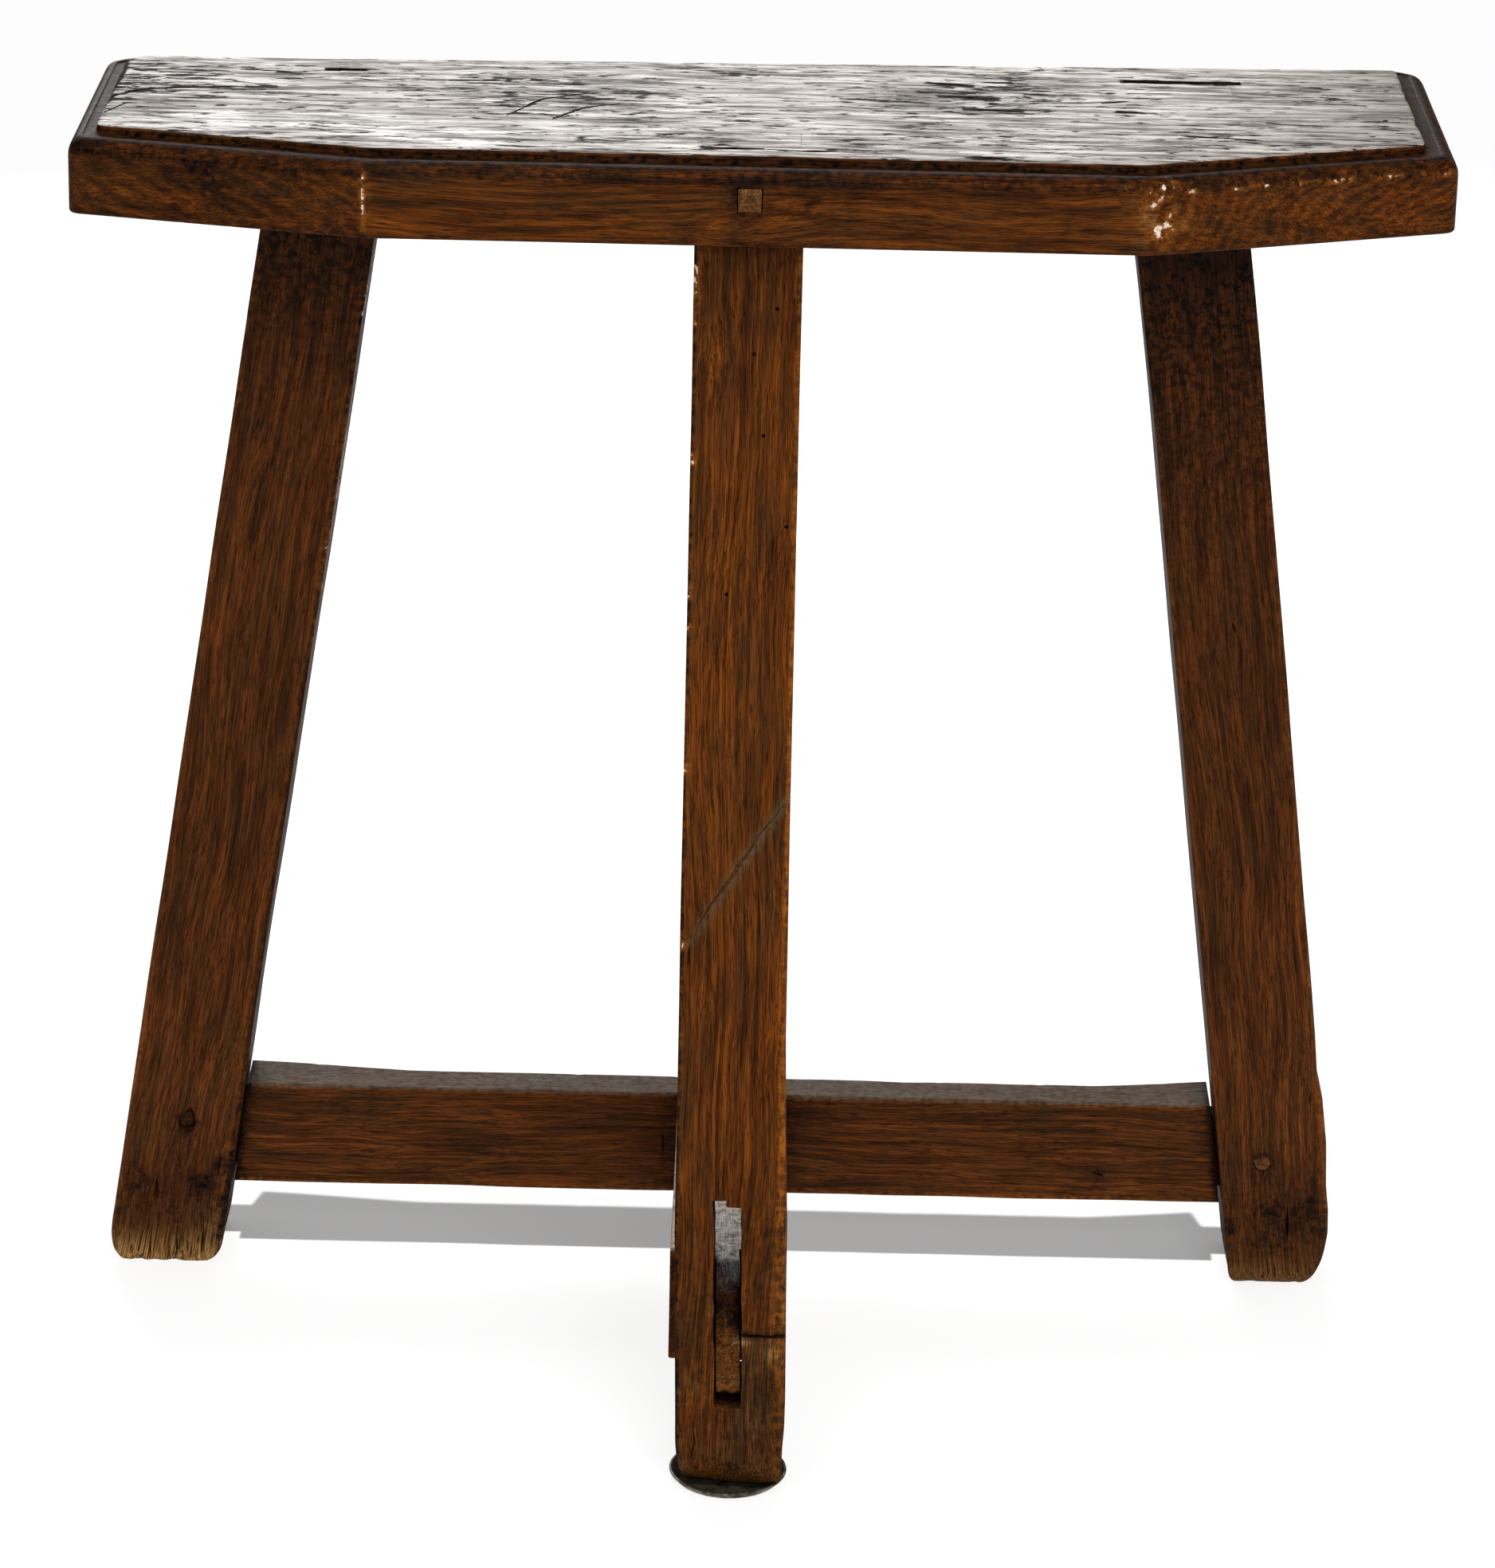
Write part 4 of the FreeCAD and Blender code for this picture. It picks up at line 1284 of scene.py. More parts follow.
    def ring(self, inset: float) -> Array:
        """Lay the ring of points for an inset, with the same number on each side whatever the inset.

        Args:
            inset: how far in from the outline.

        Returns:
            The points as x and y.
        """
        corners = self.inset_corners(inset)
        counts = (*self.front_counts, self.end_count, *self.back_counts, self.end_count)
        sides = []
        for at, count in enumerate(counts):
            share = np.arange(count)[:, None] / count
            sides.append(corners[at] * (1.0 - share) + corners[(at + 1) % len(corners)] * share)
        return np.concatenate(sides)

    def profile(self) -> Array:
        """Give the edge's profile as inset and height, from the field's rim down to the underside.

        The field's rim is worn round and drops to a sunk band, which ends at a small lip. The edge then
        turns over in a quarter circle, falls to the lower arris and turns in to the underside.

        Returns:
            Pairs of inset and height.
        """
        top, low = self.stance.top, self.stance.underside
        sunk = top - self.quirk
        rim = [(self.field_inset + 5.0, top), (self.field_inset + 2.2, top - 0.02),
               (self.field_inset + 0.9, top - 0.12), (self.field_inset + 0.25, top - 0.45),
               (self.field_inset, top - 1.1), (self.field_inset - 0.1, top - 2.2)]
        band = [(self.field_inset - 0.5, sunk + 0.1), (self.field_inset - 1.6, sunk - 0.35),
                (self.lip_inset + 3.4, sunk - 0.6), (self.lip_inset + 0.7, sunk - 0.7),
                (self.lip_inset + 0.35, sunk - 0.35), (self.lip_inset, sunk)]
        turn = [(self.ovolo * (1.0 - math.sin(angle)), sunk - self.ovolo * (1.0 - math.cos(angle)))
                for angle in np.radians(np.linspace(4.0, 90.0, 10))]
        face = [(0.0, height) for height in np.linspace(sunk - self.ovolo, low + self.lower_arris, 11)[1:]]
        under = [(self.lower_arris * (1.0 - math.cos(angle)), low + self.lower_arris * (1.0 - math.sin(angle)))
                 for angle in np.radians(np.linspace(0.0, 90.0, 5)[1:])]
        return np.array(rim + band + turn + face + under + [(6.0, low), (12.0, low)])

    def skin(self) -> Skin:
        """Make the plank's closed skin, worn at its corners and edges.

        Returns:
            The skin.
        """
        profile = self.profile()
        rings = np.empty((len(profile), len(self.ring(0.0)), 3))
        for at, (inset, height) in enumerate(profile):
            rings[at, :, :2] = self.ring(inset)
            rings[at, :, 2] = height
        rings[..., :2] = self.softened(rings[..., :2])
        top, bottom = self.grid(rings[0]), self.grid(rings[-1])
        points = np.concatenate([rings.reshape(-1, 3), top.reshape(-1, 3), bottom.reshape(-1, 3)])
        return Skin(self.worn(points), self.faces(rings.shape[:2], top.shape[:2])).outward()

    @staticmethod
    def softened(rings: Array) -> Array:
        """Round the outline's corners by averaging each point with its neighbours a few times.

        Args:
            rings: the rings of points.

        Returns:
            The rounded rings.
        """
        for _ in range(3):
            rings = 0.5 * rings + 0.25 * (np.roll(rings, 1, axis=1) + np.roll(rings, -1, axis=1))
        return rings

    def chains(self) -> tuple[int, int]:
        """Give how many steps the front chain and an end have."""
        return sum(self.front_counts), self.end_count

    def grid(self, ring: Array) -> Array:
        """Fill a ring with inner points on straight lines from its front chain to its back one.

        Args:
            ring: the ring to fill.

        Returns:
            Rows of inner points.
        """
        across, deep = self.chains()
        front = ring[1:across]
        back = ring[across + deep + 1:2 * across + deep][::-1]
        share = np.linspace(0.0, 1.0, deep + 1)[1:-1, None, None]
        return np.swapaxes(front * (1.0 - share) + back * share, 0, 1)

    def faces(self, rings: tuple[int, int], inner: tuple[int, int]) -> list[list[int]]:
        """Join the rings, and each grid with the ring that holds it.

        Args:
            rings: how many rings, and points in each.
            inner: rows and columns of a grid.

        Returns:
            All faces.
        """
        count, around = rings
        index = np.arange(count * around).reshape(count, around)
        after = np.roll(index, -1, axis=1)
        wall = np.stack([index[:-1], after[:-1], after[1:], index[1:]], axis=-1).reshape(-1, 4)
        first = count * around
        whole = [wall, self.sheet(index[0], first, inner, False),
                 self.sheet(index[-1], first + inner[0] * inner[1], inner, True)]
        return np.concatenate(whole).tolist()

    def sheet(self, ring: Array, first: int, inner: tuple[int, int], flip: bool) -> Array:
        """Make a grid's faces from the ring's point numbers and its own inner ones.

        Args:
            ring: the ring's point numbers.
            first: the grid's first point number.
            inner: its rows and columns.
            flip: whether it faces down.

        Returns:
            Four numbers a face.
        """
        across, deep = self.chains()
        table = np.empty((across + 1, deep + 1), int)
        table[:, 0] = ring[:across + 1]
        table[across, :] = ring[across:across + deep + 1]
        table[:, deep] = ring[across + deep:2 * across + deep + 1][::-1]
        table[0, :] = np.concatenate([ring[2 * across + deep:], ring[:1]])[::-1]
        table[1:-1, 1:-1] = first + np.arange(inner[0] * inner[1]).reshape(inner)
        quads = np.stack([table[:-1, :-1], table[:-1, 1:], table[1:, 1:], table[1:, :-1]], axis=-1)
        return (quads[..., ::-1] if flip else quads).reshape(-1, 4)

    def worn(self, points: Array) -> Array:
        """Move the points as wear did: dips in the top, blunt and chipped edges, a chewed right corner.

        Args:
            points: the plank's points.

        Returns:
            The moved points.
        """
        moved = points.copy()
        moved[:, 2] -= self.stance.rubbed(points)
        side = np.clip((self.stance.top - self.quirk + 0.4 - points[:, 2]) / 2.0, 0.0, 1.0)
        waves = sway(self.seed + 2, points, (44.0, 44.0, 16.0))
        chips = mottle(self.seed + 3, points, (6.0, 6.0, 4.0), 0.5)
        edge = level(points, 648.0, 5.0) + level(points, 619.0, 3.0)
        chewed = self.chewed(points) * sway(self.seed + 4, points, (2.6, 2.6, 2.6))
        ragged = mottle(self.seed + 5, points, (8.0, 8.0, 5.0))
        depth = side * (0.3 * waves + 1.6 * chips * edge + 2.4 * chewed)
        depth += level(points, self.stance.top - 0.8, 1.2) * ragged * 1.5
        moved[:, :2] += self.inward(points) * depth[:, None]
        return moved

    def inward(self, points: Array) -> Array:
        """Give each point's way towards the plank's middle line, which is short near it.

        Args:
            points: the plank's points.

        Returns:
            A way as x and y for each.
        """
        target = np.stack([np.clip(points[:, 0], self.left + 120.0, self.right - 120.0),
                           np.full(len(points), 30.0)], axis=1)
        way = target - points[:, :2]
        return way / np.maximum(np.linalg.norm(way, axis=1, keepdims=True), 20.0)

    def chewed(self, points: Array) -> Array:
        """Mark the chewed corner at the right of the front, and the battered edge beyond it."""
        corner = spot(points, (self.right - self.right_clip[0], self.front, 640.0), (15.0, 12.0, 17.0))
        return corner + 0.35 * spot(points, (265.0, -52.0, 650.0), (60.0, 24.0, 4.0))

    def cracks(self) -> list[Skin]:
        """Make the cutters of the cracks and holes in the top.

        Returns:
            A cutter for each.
        """
        height = self.stance.top - 0.3
        cutters = blades(self.crack_lines, lambda x, y: (x, y, height), UP, 0.5, 60)
        return cutters + [drill((x, y, height), UP, size, 5.0) for x, y, size in self.round_holes]

    def along_cracks(self, points: Array) -> Array:
        """Mark the cracks: exp of minus the squared distance from each crack's path, in its widths.

        Args:
            points: the places to read.

        Returns:
            One value for each point.
        """
        high = points[:, 2] > self.stance.top - 8.0
        marks = np.zeros(len(points))
        for path, width, _ in self.crack_lines:
            corners = np.asarray(path)
            steps = np.linspace(0.0, len(corners) - 1.0, 12 * len(corners))
            line = np.stack([np.interp(steps, np.arange(len(corners)), one) for one in corners.T], axis=-1)
            gap = np.linalg.norm(points[high, None, :2] - line, axis=-1).min(axis=1)
            marks[high] += np.exp(-(gap / (0.6 * width)) ** 2)
        return marks

    def build(self, legs: list[Timber], finish: OakFinish, rubbed: Material) -> None:
        """Build the plank with its mortises, peg holes and cracks, and dress it.

        Args:
            legs: the three legs.
            finish: the plank's finish.
            rubbed: its top's.
        """
        piece = self.skin().build("seat_plank_worn")
        holes = [self.stance.mortise(leg, 0.04) for leg in legs]
        pegs = [box_skin(*hole) for hole in self.peg_holes]
        cracks = self.cracks()
        groups = (holes, list(self.stance.joints().values()), cracks[0::2], cracks[1::2], pegs)
        carve(piece, [(Cut.REMOVE, group) for group in groups])
        points = mesh_points(piece)
        paint(piece, self.edge(points), self.grime_and_shade(points), self.bare(points), self.painted_sheen(points))
        settle(piece, "seat_plank", finish.material(), rubbed)

    def painted_sheen(self, points: Array) -> Array:
        """Mark the painted sheen on the top, a near-white painted reflection: a patch at the left, and a strip
        along the front.

        Args:
            points: the places to read.

        Returns:
            One value for each point.
        """
        (x, y, z), top = points.T, self.stance.top
        patch = marked(points, ((1.0, (-232.0, -14.0, top), (62.0, 20.0, 4.0)),
                                (1.0, (-150.0, -30.0, top), (60.0, 14.0, 4.0))))
        strip = np.exp(-((y + 48.0) / 9.0) ** 2) * ramp(x, 60.0, 0.0)
        broken = 0.6 + 0.5 * Unevenness(self.seed + 8).at(points, (26.0, 9.0, 9.0))
        return (patch + 0.7 * strip) * broken * (z > TOP_FROM_MM)

    def edge(self, points: Array) -> Array:
        """Mark the edges that hands and knees have rubbed, and painted glints at 1 and more: the left clip's
        corner, the chewed corner, the right clip's upper edge and both ends.

        Args:
            points: the places to read.

        Returns:
            One value for each point.
        """
        x, y, z = points.T
        lips = (0.55 * level(points, self.stance.top - self.quirk, 0.5)
                + 0.3 * level(points, self.stance.underside, 1.0))
        lips *= z < self.stance.top - 2.6
        # left, right, along and ends reach 1 and more, where the finish paints near-white glints.
        left = spot(points, (self.left + self.left_clip[0] + 0.5, self.front, 640.0), (1.6, 2.5, 15.0))
        right = spot(points, (self.right - self.right_clip[0] + 6.0, self.front, 640.0), (9.0, 10.0, 13.0))
        along = ramp(x, 190.0, 202.0) * (y < -20.0) * level(points, 648.2, 1.5)
        ends = ramp(x, self.right - 4.0, self.right - 1.0)
        ends += ramp(x, self.left + 3.0, self.left + 1.0)
        ends *= level(points, 651.0, 2.6)
        broken = mottle(self.seed + 6, points, (5.0, 5.0, 3.0), -0.35)
        return lips + 1.6 * left + 3.2 * right * broken + 1.3 * along * broken + 1.2 * ends * broken

    def grime_and_shade(self, points: Array) -> Array:
        """Mark the dirt, a painted shadow and darker places: the sunk band, the turn below it, the knots, the
        square peg with a painted shadow at its left side, the pitted top and the cracks, and darker tone at the
        left end, on the left clip, towards the lower edge and in the gaps.

        Args:
            points: the places to read.

        Returns:
            One value for each point.
        """
        (x, _, height), top = points.T, self.stance.top
        band = ramp(height, 652.9, 653.9) * ramp(height, 657.2, 656.2)
        turn = 0.8 * level(points, 650.5, 4.0)
        left_end = 1.6 * ramp(x, self.left + 16.0, self.left + 8.0) * ramp(height, 646.0, 650.0)
        # The second mark, at the square peg's left side, is a painted shadow of the peg's head.
        knots = marked(points, (
            (0.85, (-1.85, self.front, 640.8), (12.0, 4.0, 10.0)), (1.0, (-7.4, -74.0, 640.8), (3.0, 16.0, 7.0)),
            (0.9, (25.6, self.front, 639.5), (3.4, 3.0, 5.5)), (0.7, (-255.0, -64.0, 637.0), (12.0, 12.0, 8.0))))
        runs = mottle(self.seed + 9, points, (24.0, 24.0, 7.0))
        face = (0.6 * level(points, 645.0, 6.0) * runs + 0.25 * (x < -180.0)) * (height < 650.0)
        pits = marked(points, (
            (1.0, (108.0, 60.0, top), (38.0, 34.0, 6.0)), (0.7, (-300.0, 70.0, top), (30.0, 40.0, 6.0)),
            (0.6, (-90.0, 30.0, top), (45.0, 34.0, 6.0))))
        low = 0.6 * ramp(height, 621.5, 618.0)
        dark = band * 0.95 + turn + left_end + knots + face + low
        on_top = np.minimum(pits, 0.6) * (height > TOP_FROM_MM)
        return dark + on_top + 1.3 * self.along_cracks(points) + self.stance.gap_darkening(points)

    def bare(self, points: Array) -> Array:
        """Mark broken wood at the chewed corner, and brown places in the top where the wax has gone.

        Args:
            points: the places to read.

        Returns:
            One value for each point.
        """
        rags = mottle(self.seed + 7, points, (4.0, 4.0, 4.0), 0.1)
        top = self.stance.top
        brown = marked(points, (
            (1.0, (226.0, 84.0, top), (17.0, 20.0, 6.0)), (0.8, (-85.0, 50.0, top), (60.0, 40.0, 6.0)),
            (0.7, (110.0, 60.0, top), (60.0, 36.0, 6.0))))
        return self.chewed(points) * 0.6 * rags * (points[:, 2] < 652.0) + brown * (points[:, 2] > TOP_FROM_MM)


@dataclass
class Legs:
    """The three legs and the block let into the front foot.

    Lines, worm holes and nicks lie on the front faces, by x and height. A mortise is its box's two corners,
    cut for a rail's stub tenon.
    """

    stance: Stance
    slot: tuple[Place, Place] = ((-8.7, -170.0, 44.6), (5.0, -60.0, 146.5))
    seam_x: float = -0.9
    block_top: float = 81.4
    dish_top: float = 1.3
    nail_y: float = -129.0
    bore_y: float = 92.0
    front_lines: Lines = (
        (((23.6, 350.5), (10.0, 331.0), (-1.0, 313.6), (-13.0, 296.0), (-22.0, 280.0)), 3.2, 0.9),
        (((9.0, 322.0), (10.5, 305.0), (9.5, 296.0)), 0.8, 1.0),
        (((-23.6, 276.0), (-24.2, 266.0)), 2.4, 2.0),
        (((-13.0, 590.0), (-12.2, 540.0)), 0.6, 1.0),
        (((14.0, 240.0), (14.6, 176.0)), 0.6, 1.0),
        (((-16.0, 40.0), (-16.6, 12.0)), 1.3, 2.0),
    )
    left_lines: Lines = (
        (((-296.9, 18.0), (-297.3, 1.0)), 1.4, 4.0), (((-311.0, 12.0), (-311.4, 1.0)), 1.2, 3.0),
        (((-282.0, 26.0), (-284.6, 1.0)), 1.5, 4.0), (((-306.8, 51.0), (-307.8, 36.0)), 4.0, 2.4),
        (((-272.4, 66.0), (-274.6, 52.0)), 2.4, 2.0), (((-288.0, 93.5), (-289.4, 79.0)), 8.5, 5.0),
        (((-268.0, 214.0), (-259.5, 268.0)), 0.7, 1.5),
    )
    right_lines: Lines = (
        (((295.3, 50.5), (296.6, 26.5)), 1.6, 5.0), (((303.6, 118.0), (302.6, 109.0)), 2.6, 2.0),
        (((247.6, 383.5), (249.4, 377.0)), 3.4, 2.0), (((290.0, 16.0), (291.4, 3.0)), 1.0, 3.0),
        (((236.0, 520.0), (243.0, 468.0)), 0.7, 1.5),
    )
    worm_holes: Pairs = ((12.0, 583.1), (1.5, 561.5), (6.9, 523.1), (18.8, 480.0), (-9.0, 447.0))
    worm_hole_size: Pair = (1.9, 5.0)
    nicks: Pairs = ((598.0, 6.0), (588.0, 4.0), (576.0, 2.5), (510.0, 3.5),
                    (448.0, 2.5), (430.0, 2.0), (362.0, 2.0), (277.0, 3.0))
    left_mortise: tuple[Place, Place] = ((-306.6, 112.9, 53.3), (-240.0, 127.3, 93.7))
    right_mortise: tuple[Place, Place] = ((230.0, 112.9, 53.3), (296.8, 127.3, 93.7))

    def front(self) -> Timber:
        """Set out the front leg, which leans forward and bends a little to the right near its foot.

        Returns:
            The leg.
        """
        return self.stance.leg(
            "front_leg", self.stance.front_foot, (0.0, self.stance.front_lean), self.stance.front_half,
            self.stance.front_setback, self.dish_top, seed=3, arris_mm=(0.9, 2.4), fine_mm=0.8,
            bend=((33.0, 2.4), (45.0, 2.0), (80.0, 1.3), (130.0, 0.0)),
            swells={Side.RIGHT: ((15.0, 0.7), (29.0, 1.6), (45.0, 2.4), (80.0, 2.7), (126.0, 3.15),
                                 (232.0, 0.3), (300.0, 0.0), (600.0, -0.5))},
            parings=(Paring((0.0, -1.0), 13.0, 18.0), Paring((-0.6, -0.8), 14.0, 33.0),
                     Paring((-1.0, 0.0), 4.0, 12.0), Paring((1.0, 0.0), 2.0, 6.0), Paring((0.0, 1.0), 12.0, 12.0)),
            ragged_mm=1.6)

    def left(self) -> Timber:
        """Set out the left rear leg, which is a little stout on its inner side near the foot.

        Returns:
            The leg.
        """
        return self.stance.leg(
            "left_rear_leg", self.stance.left_foot, (self.stance.left_splay, self.stance.rear_lean),
            self.stance.rear_half, self.stance.left_setback, 0.0, seed=11, arris_mm=(0.9, 2.6),
            swells={Side.RIGHT: ((0.0, 3.4), (50.0, 3.2), (102.0, 2.0), (150.0, 1.3), (400.0, 1.2), (600.0, 0.0))},
            parings=(Paring((-1.0, 0.0), 11.0, 24.0), Paring((1.0, 0.0), 10.0, 12.0),
                     Paring((0.0, -1.0), 2.0, 3.0), Paring((0.0, 1.0), 6.0, 10.0)),
            ragged_mm=2.2)

    def right(self) -> Timber:
        """Set out the right rear leg, worn away on the outer side of its foot.

        Returns:
            The leg.
        """
        return self.stance.leg(
            "right_rear_leg", self.stance.right_foot, (self.stance.right_splay, self.stance.rear_lean),
            self.stance.rear_half, self.stance.right_setback, 0.0, seed=19, arris_mm=(1.0, 3.2),
            swells={Side.RIGHT: ((60.0, 0.0), (85.0, 1.8), (113.0, 1.6), (124.0, -0.4), (150.0, 0.3),
                                 (300.0, 0.6), (500.0, 0.6), (600.0, 0.0)),
                    Side.LEFT: ((0.0, -0.5), (60.0, -0.6), (100.0, -1.1), (500.0, -1.1), (600.0, 0.0))},
            parings=(Paring((1.0, 0.0), 22.5, 50.0), Paring((-1.0, 0.0), 5.0, 9.0),
                     Paring((0.0, -1.0), 8.0, 10.0), Paring((0.0, 1.0), 6.0, 10.0)),
            ragged_mm=1.5)

    def face_y(self, height: float | Array) -> float | Array:
        """Give the front leg's front face at a height."""
        lean = math.radians(self.stance.front_lean)
        return self.stance.front_foot[1] - self.stance.front_half[1] / math.cos(lean) - math.tan(lean) * height

    def skin(self, leg: Timber) -> Skin:
        """Make a leg's skin, with its tenon's end rubbed down as the seat round it.

        Args:
            leg: the leg.

        Returns:
            The skin.
        """
        made = leg.skin()
        made.points[:, 2] -= self.stance.rubbed(made.points)
        return made

    def build_front(self, leg: Timber, rubbed: Material) -> None:
        """Build the front leg and its block, which share one timber, its slot and its worn foot.

        Args:
            leg: the front leg.
            rubbed: the finish of its tenon's end.
        """
        slot = rough_box(*self.slot, 2.4, 0.55, 120)
        slot.points[:, 0] += self.stance.drift(slot.points[:, 2])
        notch = rough_box((-9.0, -170.0, 140.0), (-2.0, -118.0, 150.0), 2.0, 1.2, 126)
        peg = box_skin((-7.7, -80.0, 635.0), (4.0, -13.0, 646.7))
        nails = [drill((x, self.nail_y, self.dish_top), (0.0, 0.0, -1.0), NAIL_BORE_MM, 33.0) for x in NAILS_X]
        face = (0.0, -1.0, 0.155)
        marks = blades(self.front_lines, lambda x, z: (x, self.face_y(z) + 0.2, z), face, 0.8, 130)
        worms = [drill((x, self.face_y(z), z), face, *self.worm_hole_size) for x, z in self.worm_holes]
        recess = rough_box((self.seam_x, -200.0, -20.0), (60.0, 0.0, self.block_top + 0.9), 3.0, 0.45, 150)
        held = rough_box((self.seam_x + 0.15, -200.0, -20.0), (60.0, 0.0, self.block_top - 0.6), 3.0, 0.45, 150)
        shared = [(Cut.REMOVE, [slot]), (Cut.REMOVE, [notch]), (Cut.REMOVE, [peg] + nails)]
        piece = self.skin(leg).build("front_leg_worn")
        carve(piece, shared + [(Cut.REMOVE, marks), (Cut.REMOVE, worms), (Cut.REMOVE, [recess])])
        block = self.skin(leg).build("foot_repair_block_worn")
        carve(block, shared + [(Cut.KEEP, [held])])
        turn = (self.stance.front_lean, 0.0, 0.0)
        oak = OakFinish("waxed_oak_front_leg", Grain(leg.foot, turn, (70.0, 58.0)))
        patch = OakFinish("patched_oak_block", Grain(leg.foot, turn, (-66.0, 71.0)),
                          body="#45220d", warm="#7d4518", film_share=0.45, blotch_share=0.7, roughness=0.6)
        for item, node, finish, slot_name in (
                (piece, "front_leg", oak, "waxed_oak_legs"),
                (block, "foot_repair_block", patch, "patched_oak")):
            self.weather_front(item, leg)
            settle(item, node, finish.material(), rubbed)

    def weather_front(self, piece: Item, leg: Timber) -> None:
        """Mark the front leg's rubbed arrises, painted shade under the seat, in the slot and along its left arris,
        painted glints at its nicks and a painted highlight along its right arris, and its scraped foot.

        Args:
            piece: the leg or its block.
            leg: the front leg.
        """
        points = mesh_points(piece)
        x, y, z = points.T
        # Painted shade on the faces inside the slot.
        inside = ramp(y - self.face_y(z), 2.0, 7.0)
        inside *= (np.abs(x - self.stance.drift(z)) < 10.0) * (z > 43.0) * (z < 150.0)
        # Painted shadow of the seat at the top of the leg.
        under = np.exp(-np.clip(self.stance.underside - z, 0.0, None) / 12.0) * (z < self.stance.underside + 1.0)
        toe = np.exp(-z / 16.0)
        # Painted glints: near-white nicks on the left arris.
        nicks = sum(spot(points, (-27.6, self.face_y(at) + 0.6, at), (2.2, 3.0, tall)) for at, tall in self.nicks)
        crack = spot(points, (17.0, self.face_y(82.0), 82.0), (14.0, 8.0, 1.6))
        chips = spot(points, (6.5, self.face_y(78.0), 78.5), (4.0, 8.0, 1.8))
        chips += spot(points, (21.5, self.face_y(73.0), 73.0), (2.4, 8.0, 3.6))
        patches = mottle(170, points, (14.0, 14.0, 18.0))
        side = leg.local(points)[:, 0] - np.interp(z, *zip(*leg.bend))
        # Painted shade along the left arris, which turns away from the light.
        rim = 0.9 * ramp(side + leg.half[0], 2.2, 1.0)
        groove = np.interp(x, (-24.0, -1.0, 23.5), (276.0, 313.0, 350.0))
        scuff = np.exp(-((z - groove) / 4.6) ** 2) * (np.abs(x) < 25.0)
        scuff *= np.interp(x, (-24.0, 2.0, 10.0, 24.0), (0.4, 1.0, 1.0, 0.6))
        # Painted highlight: the worn-edge colour along the right arris, which faces the light.
        right_arris_highlight = ramp(side - leg.half[0], -3.4, -1.4) * (y < self.face_y(z) + 4.0)
        right_arris_highlight *= np.clip((z - 60.0) / 120.0, 0.3, 1.0)
        rubbed = 0.6 * leg.arris_wear(points) * (0.35 + 0.65 * patches) + 0.5 * right_arris_highlight
        paint(piece, np.minimum(rubbed, 0.7) + 1.5 * nicks,
              0.9 * inside + 0.95 * under + 0.9 * crack + 0.9 * toe * patches + 0.42 * ramp(z, 190.0, 100.0)
              + rim * (1.0 - np.clip(nicks, 0.0, 1.0)),
              0.18 * toe + 0.8 * chips + 0.1 * patches * (z < 130.0), scuff)

    def build_rear(self, leg: Timber, splay: float, bore: Place, mortise: Skin, marks: list[Skin],
                   pith: Pair, rubbed: Material) -> None:
        """Build a rear leg.

        Args:
            leg: the timber.
            splay: its turn about Y in degrees.
            bore: where its peg's hole starts, before its front face.
            mortise: the cutter of the rail's mortise.
            marks: the cutters of its cracks and gouges, which don't touch each other.
            pith: where its growth rings have their middle.
            rubbed: the finish of its tenon's end in the seat's top.
        """
        piece = self.skin(leg).build(leg.name + "_worn")
        gap = self.stance.joints()[leg.name]
        carve(piece, [(Cut.REMOVE, [mortise]), (Cut.REMOVE, [drill(bore, FORWARD, PEG_BORE_MM, 53.0)]),
                      (Cut.REMOVE, marks + [gap])])
        points = mesh_points(piece)
        z = points[:, 2]
        below = np.clip(self.stance.underside - z, 0.0, None)
        at_left = leg.name.startswith("left")
        # Painted shadow of the seat down the top of the leg, reaching further on the right leg.
        under = 0.5 * np.exp(-below / 16.0) + 0.95 * np.exp(-(below / (110.0 if at_left else 190.0)) ** 2)
        under *= z < self.stance.underside + 1.0
        stains = mottle(leg.seed + 200, points, (12.0, 12.0, 26.0))
        spots = mottle(leg.seed + 201, points, (7.0, 7.0, 12.0))
        ring = spot(points, (bore[0], bore[1] + 4.0, bore[2]), (7.5, 12.0, 8.5))
        toe = np.exp(-(z / 13.0) ** 2)
        scorch = level(points, 40.0, 26.0) * (0.45 + 0.8 * spots) * (1.0 - 0.7 * toe)
        across = leg.local(points)[:, 0]
        # Painted shade on the inner side face.
        inner = ramp(math.copysign(1.0, pith[0]) * across / leg.half[0], 0.93, 1.0)
        # Painted glints: a near-white line along the left leg's inner arris near the top.
        line = ramp(across - leg.half[0], -1.0, -0.2) * ramp(z, 330.0, 390.0)
        glints = 1.2 * line * np.clip(0.35 + stains, 0.0, 1.0) * (z < 612.0) * at_left
        paint(piece, np.minimum(0.6 * leg.arris_wear(points) * (0.3 + 0.7 * stains), 0.7) * (1.0 - inner) + glints,
              0.95 * under + scorch + ring + 0.6 * inner + 0.12 + self.stance.gap_darkening(points),
              (toe * (0.75 + 0.4 * spots) + 0.5 * stains * np.exp(-z / 30.0)) * (1.0 if at_left else 0.35))
        finish = OakFinish("waxed_oak_" + leg.name, Grain(leg.foot, (self.stance.rear_lean, splay, 0.0), pith),
                           body="#52290d", warm="#87481a")
        settle(piece, leg.name, finish.material(), rubbed)

    def shakes(self, lines: Lines, seed: int) -> list[Skin]:
        """Make the cutters of cracks and gouges on a rear leg's front face.

        Args:
            lines: the lines, by x and height.
            seed: which random fields they use.

        Returns:
            A cutter for each line.
        """
        lean = math.tan(math.radians(self.stance.rear_lean))
        face = self.stance.left_foot[1] - self.stance.rear_half[1] / math.cos(math.radians(self.stance.rear_lean))
        return blades(lines, lambda x, z: (x, face - lean * z, z), (0.0, -1.0, -lean), 0.5, seed)

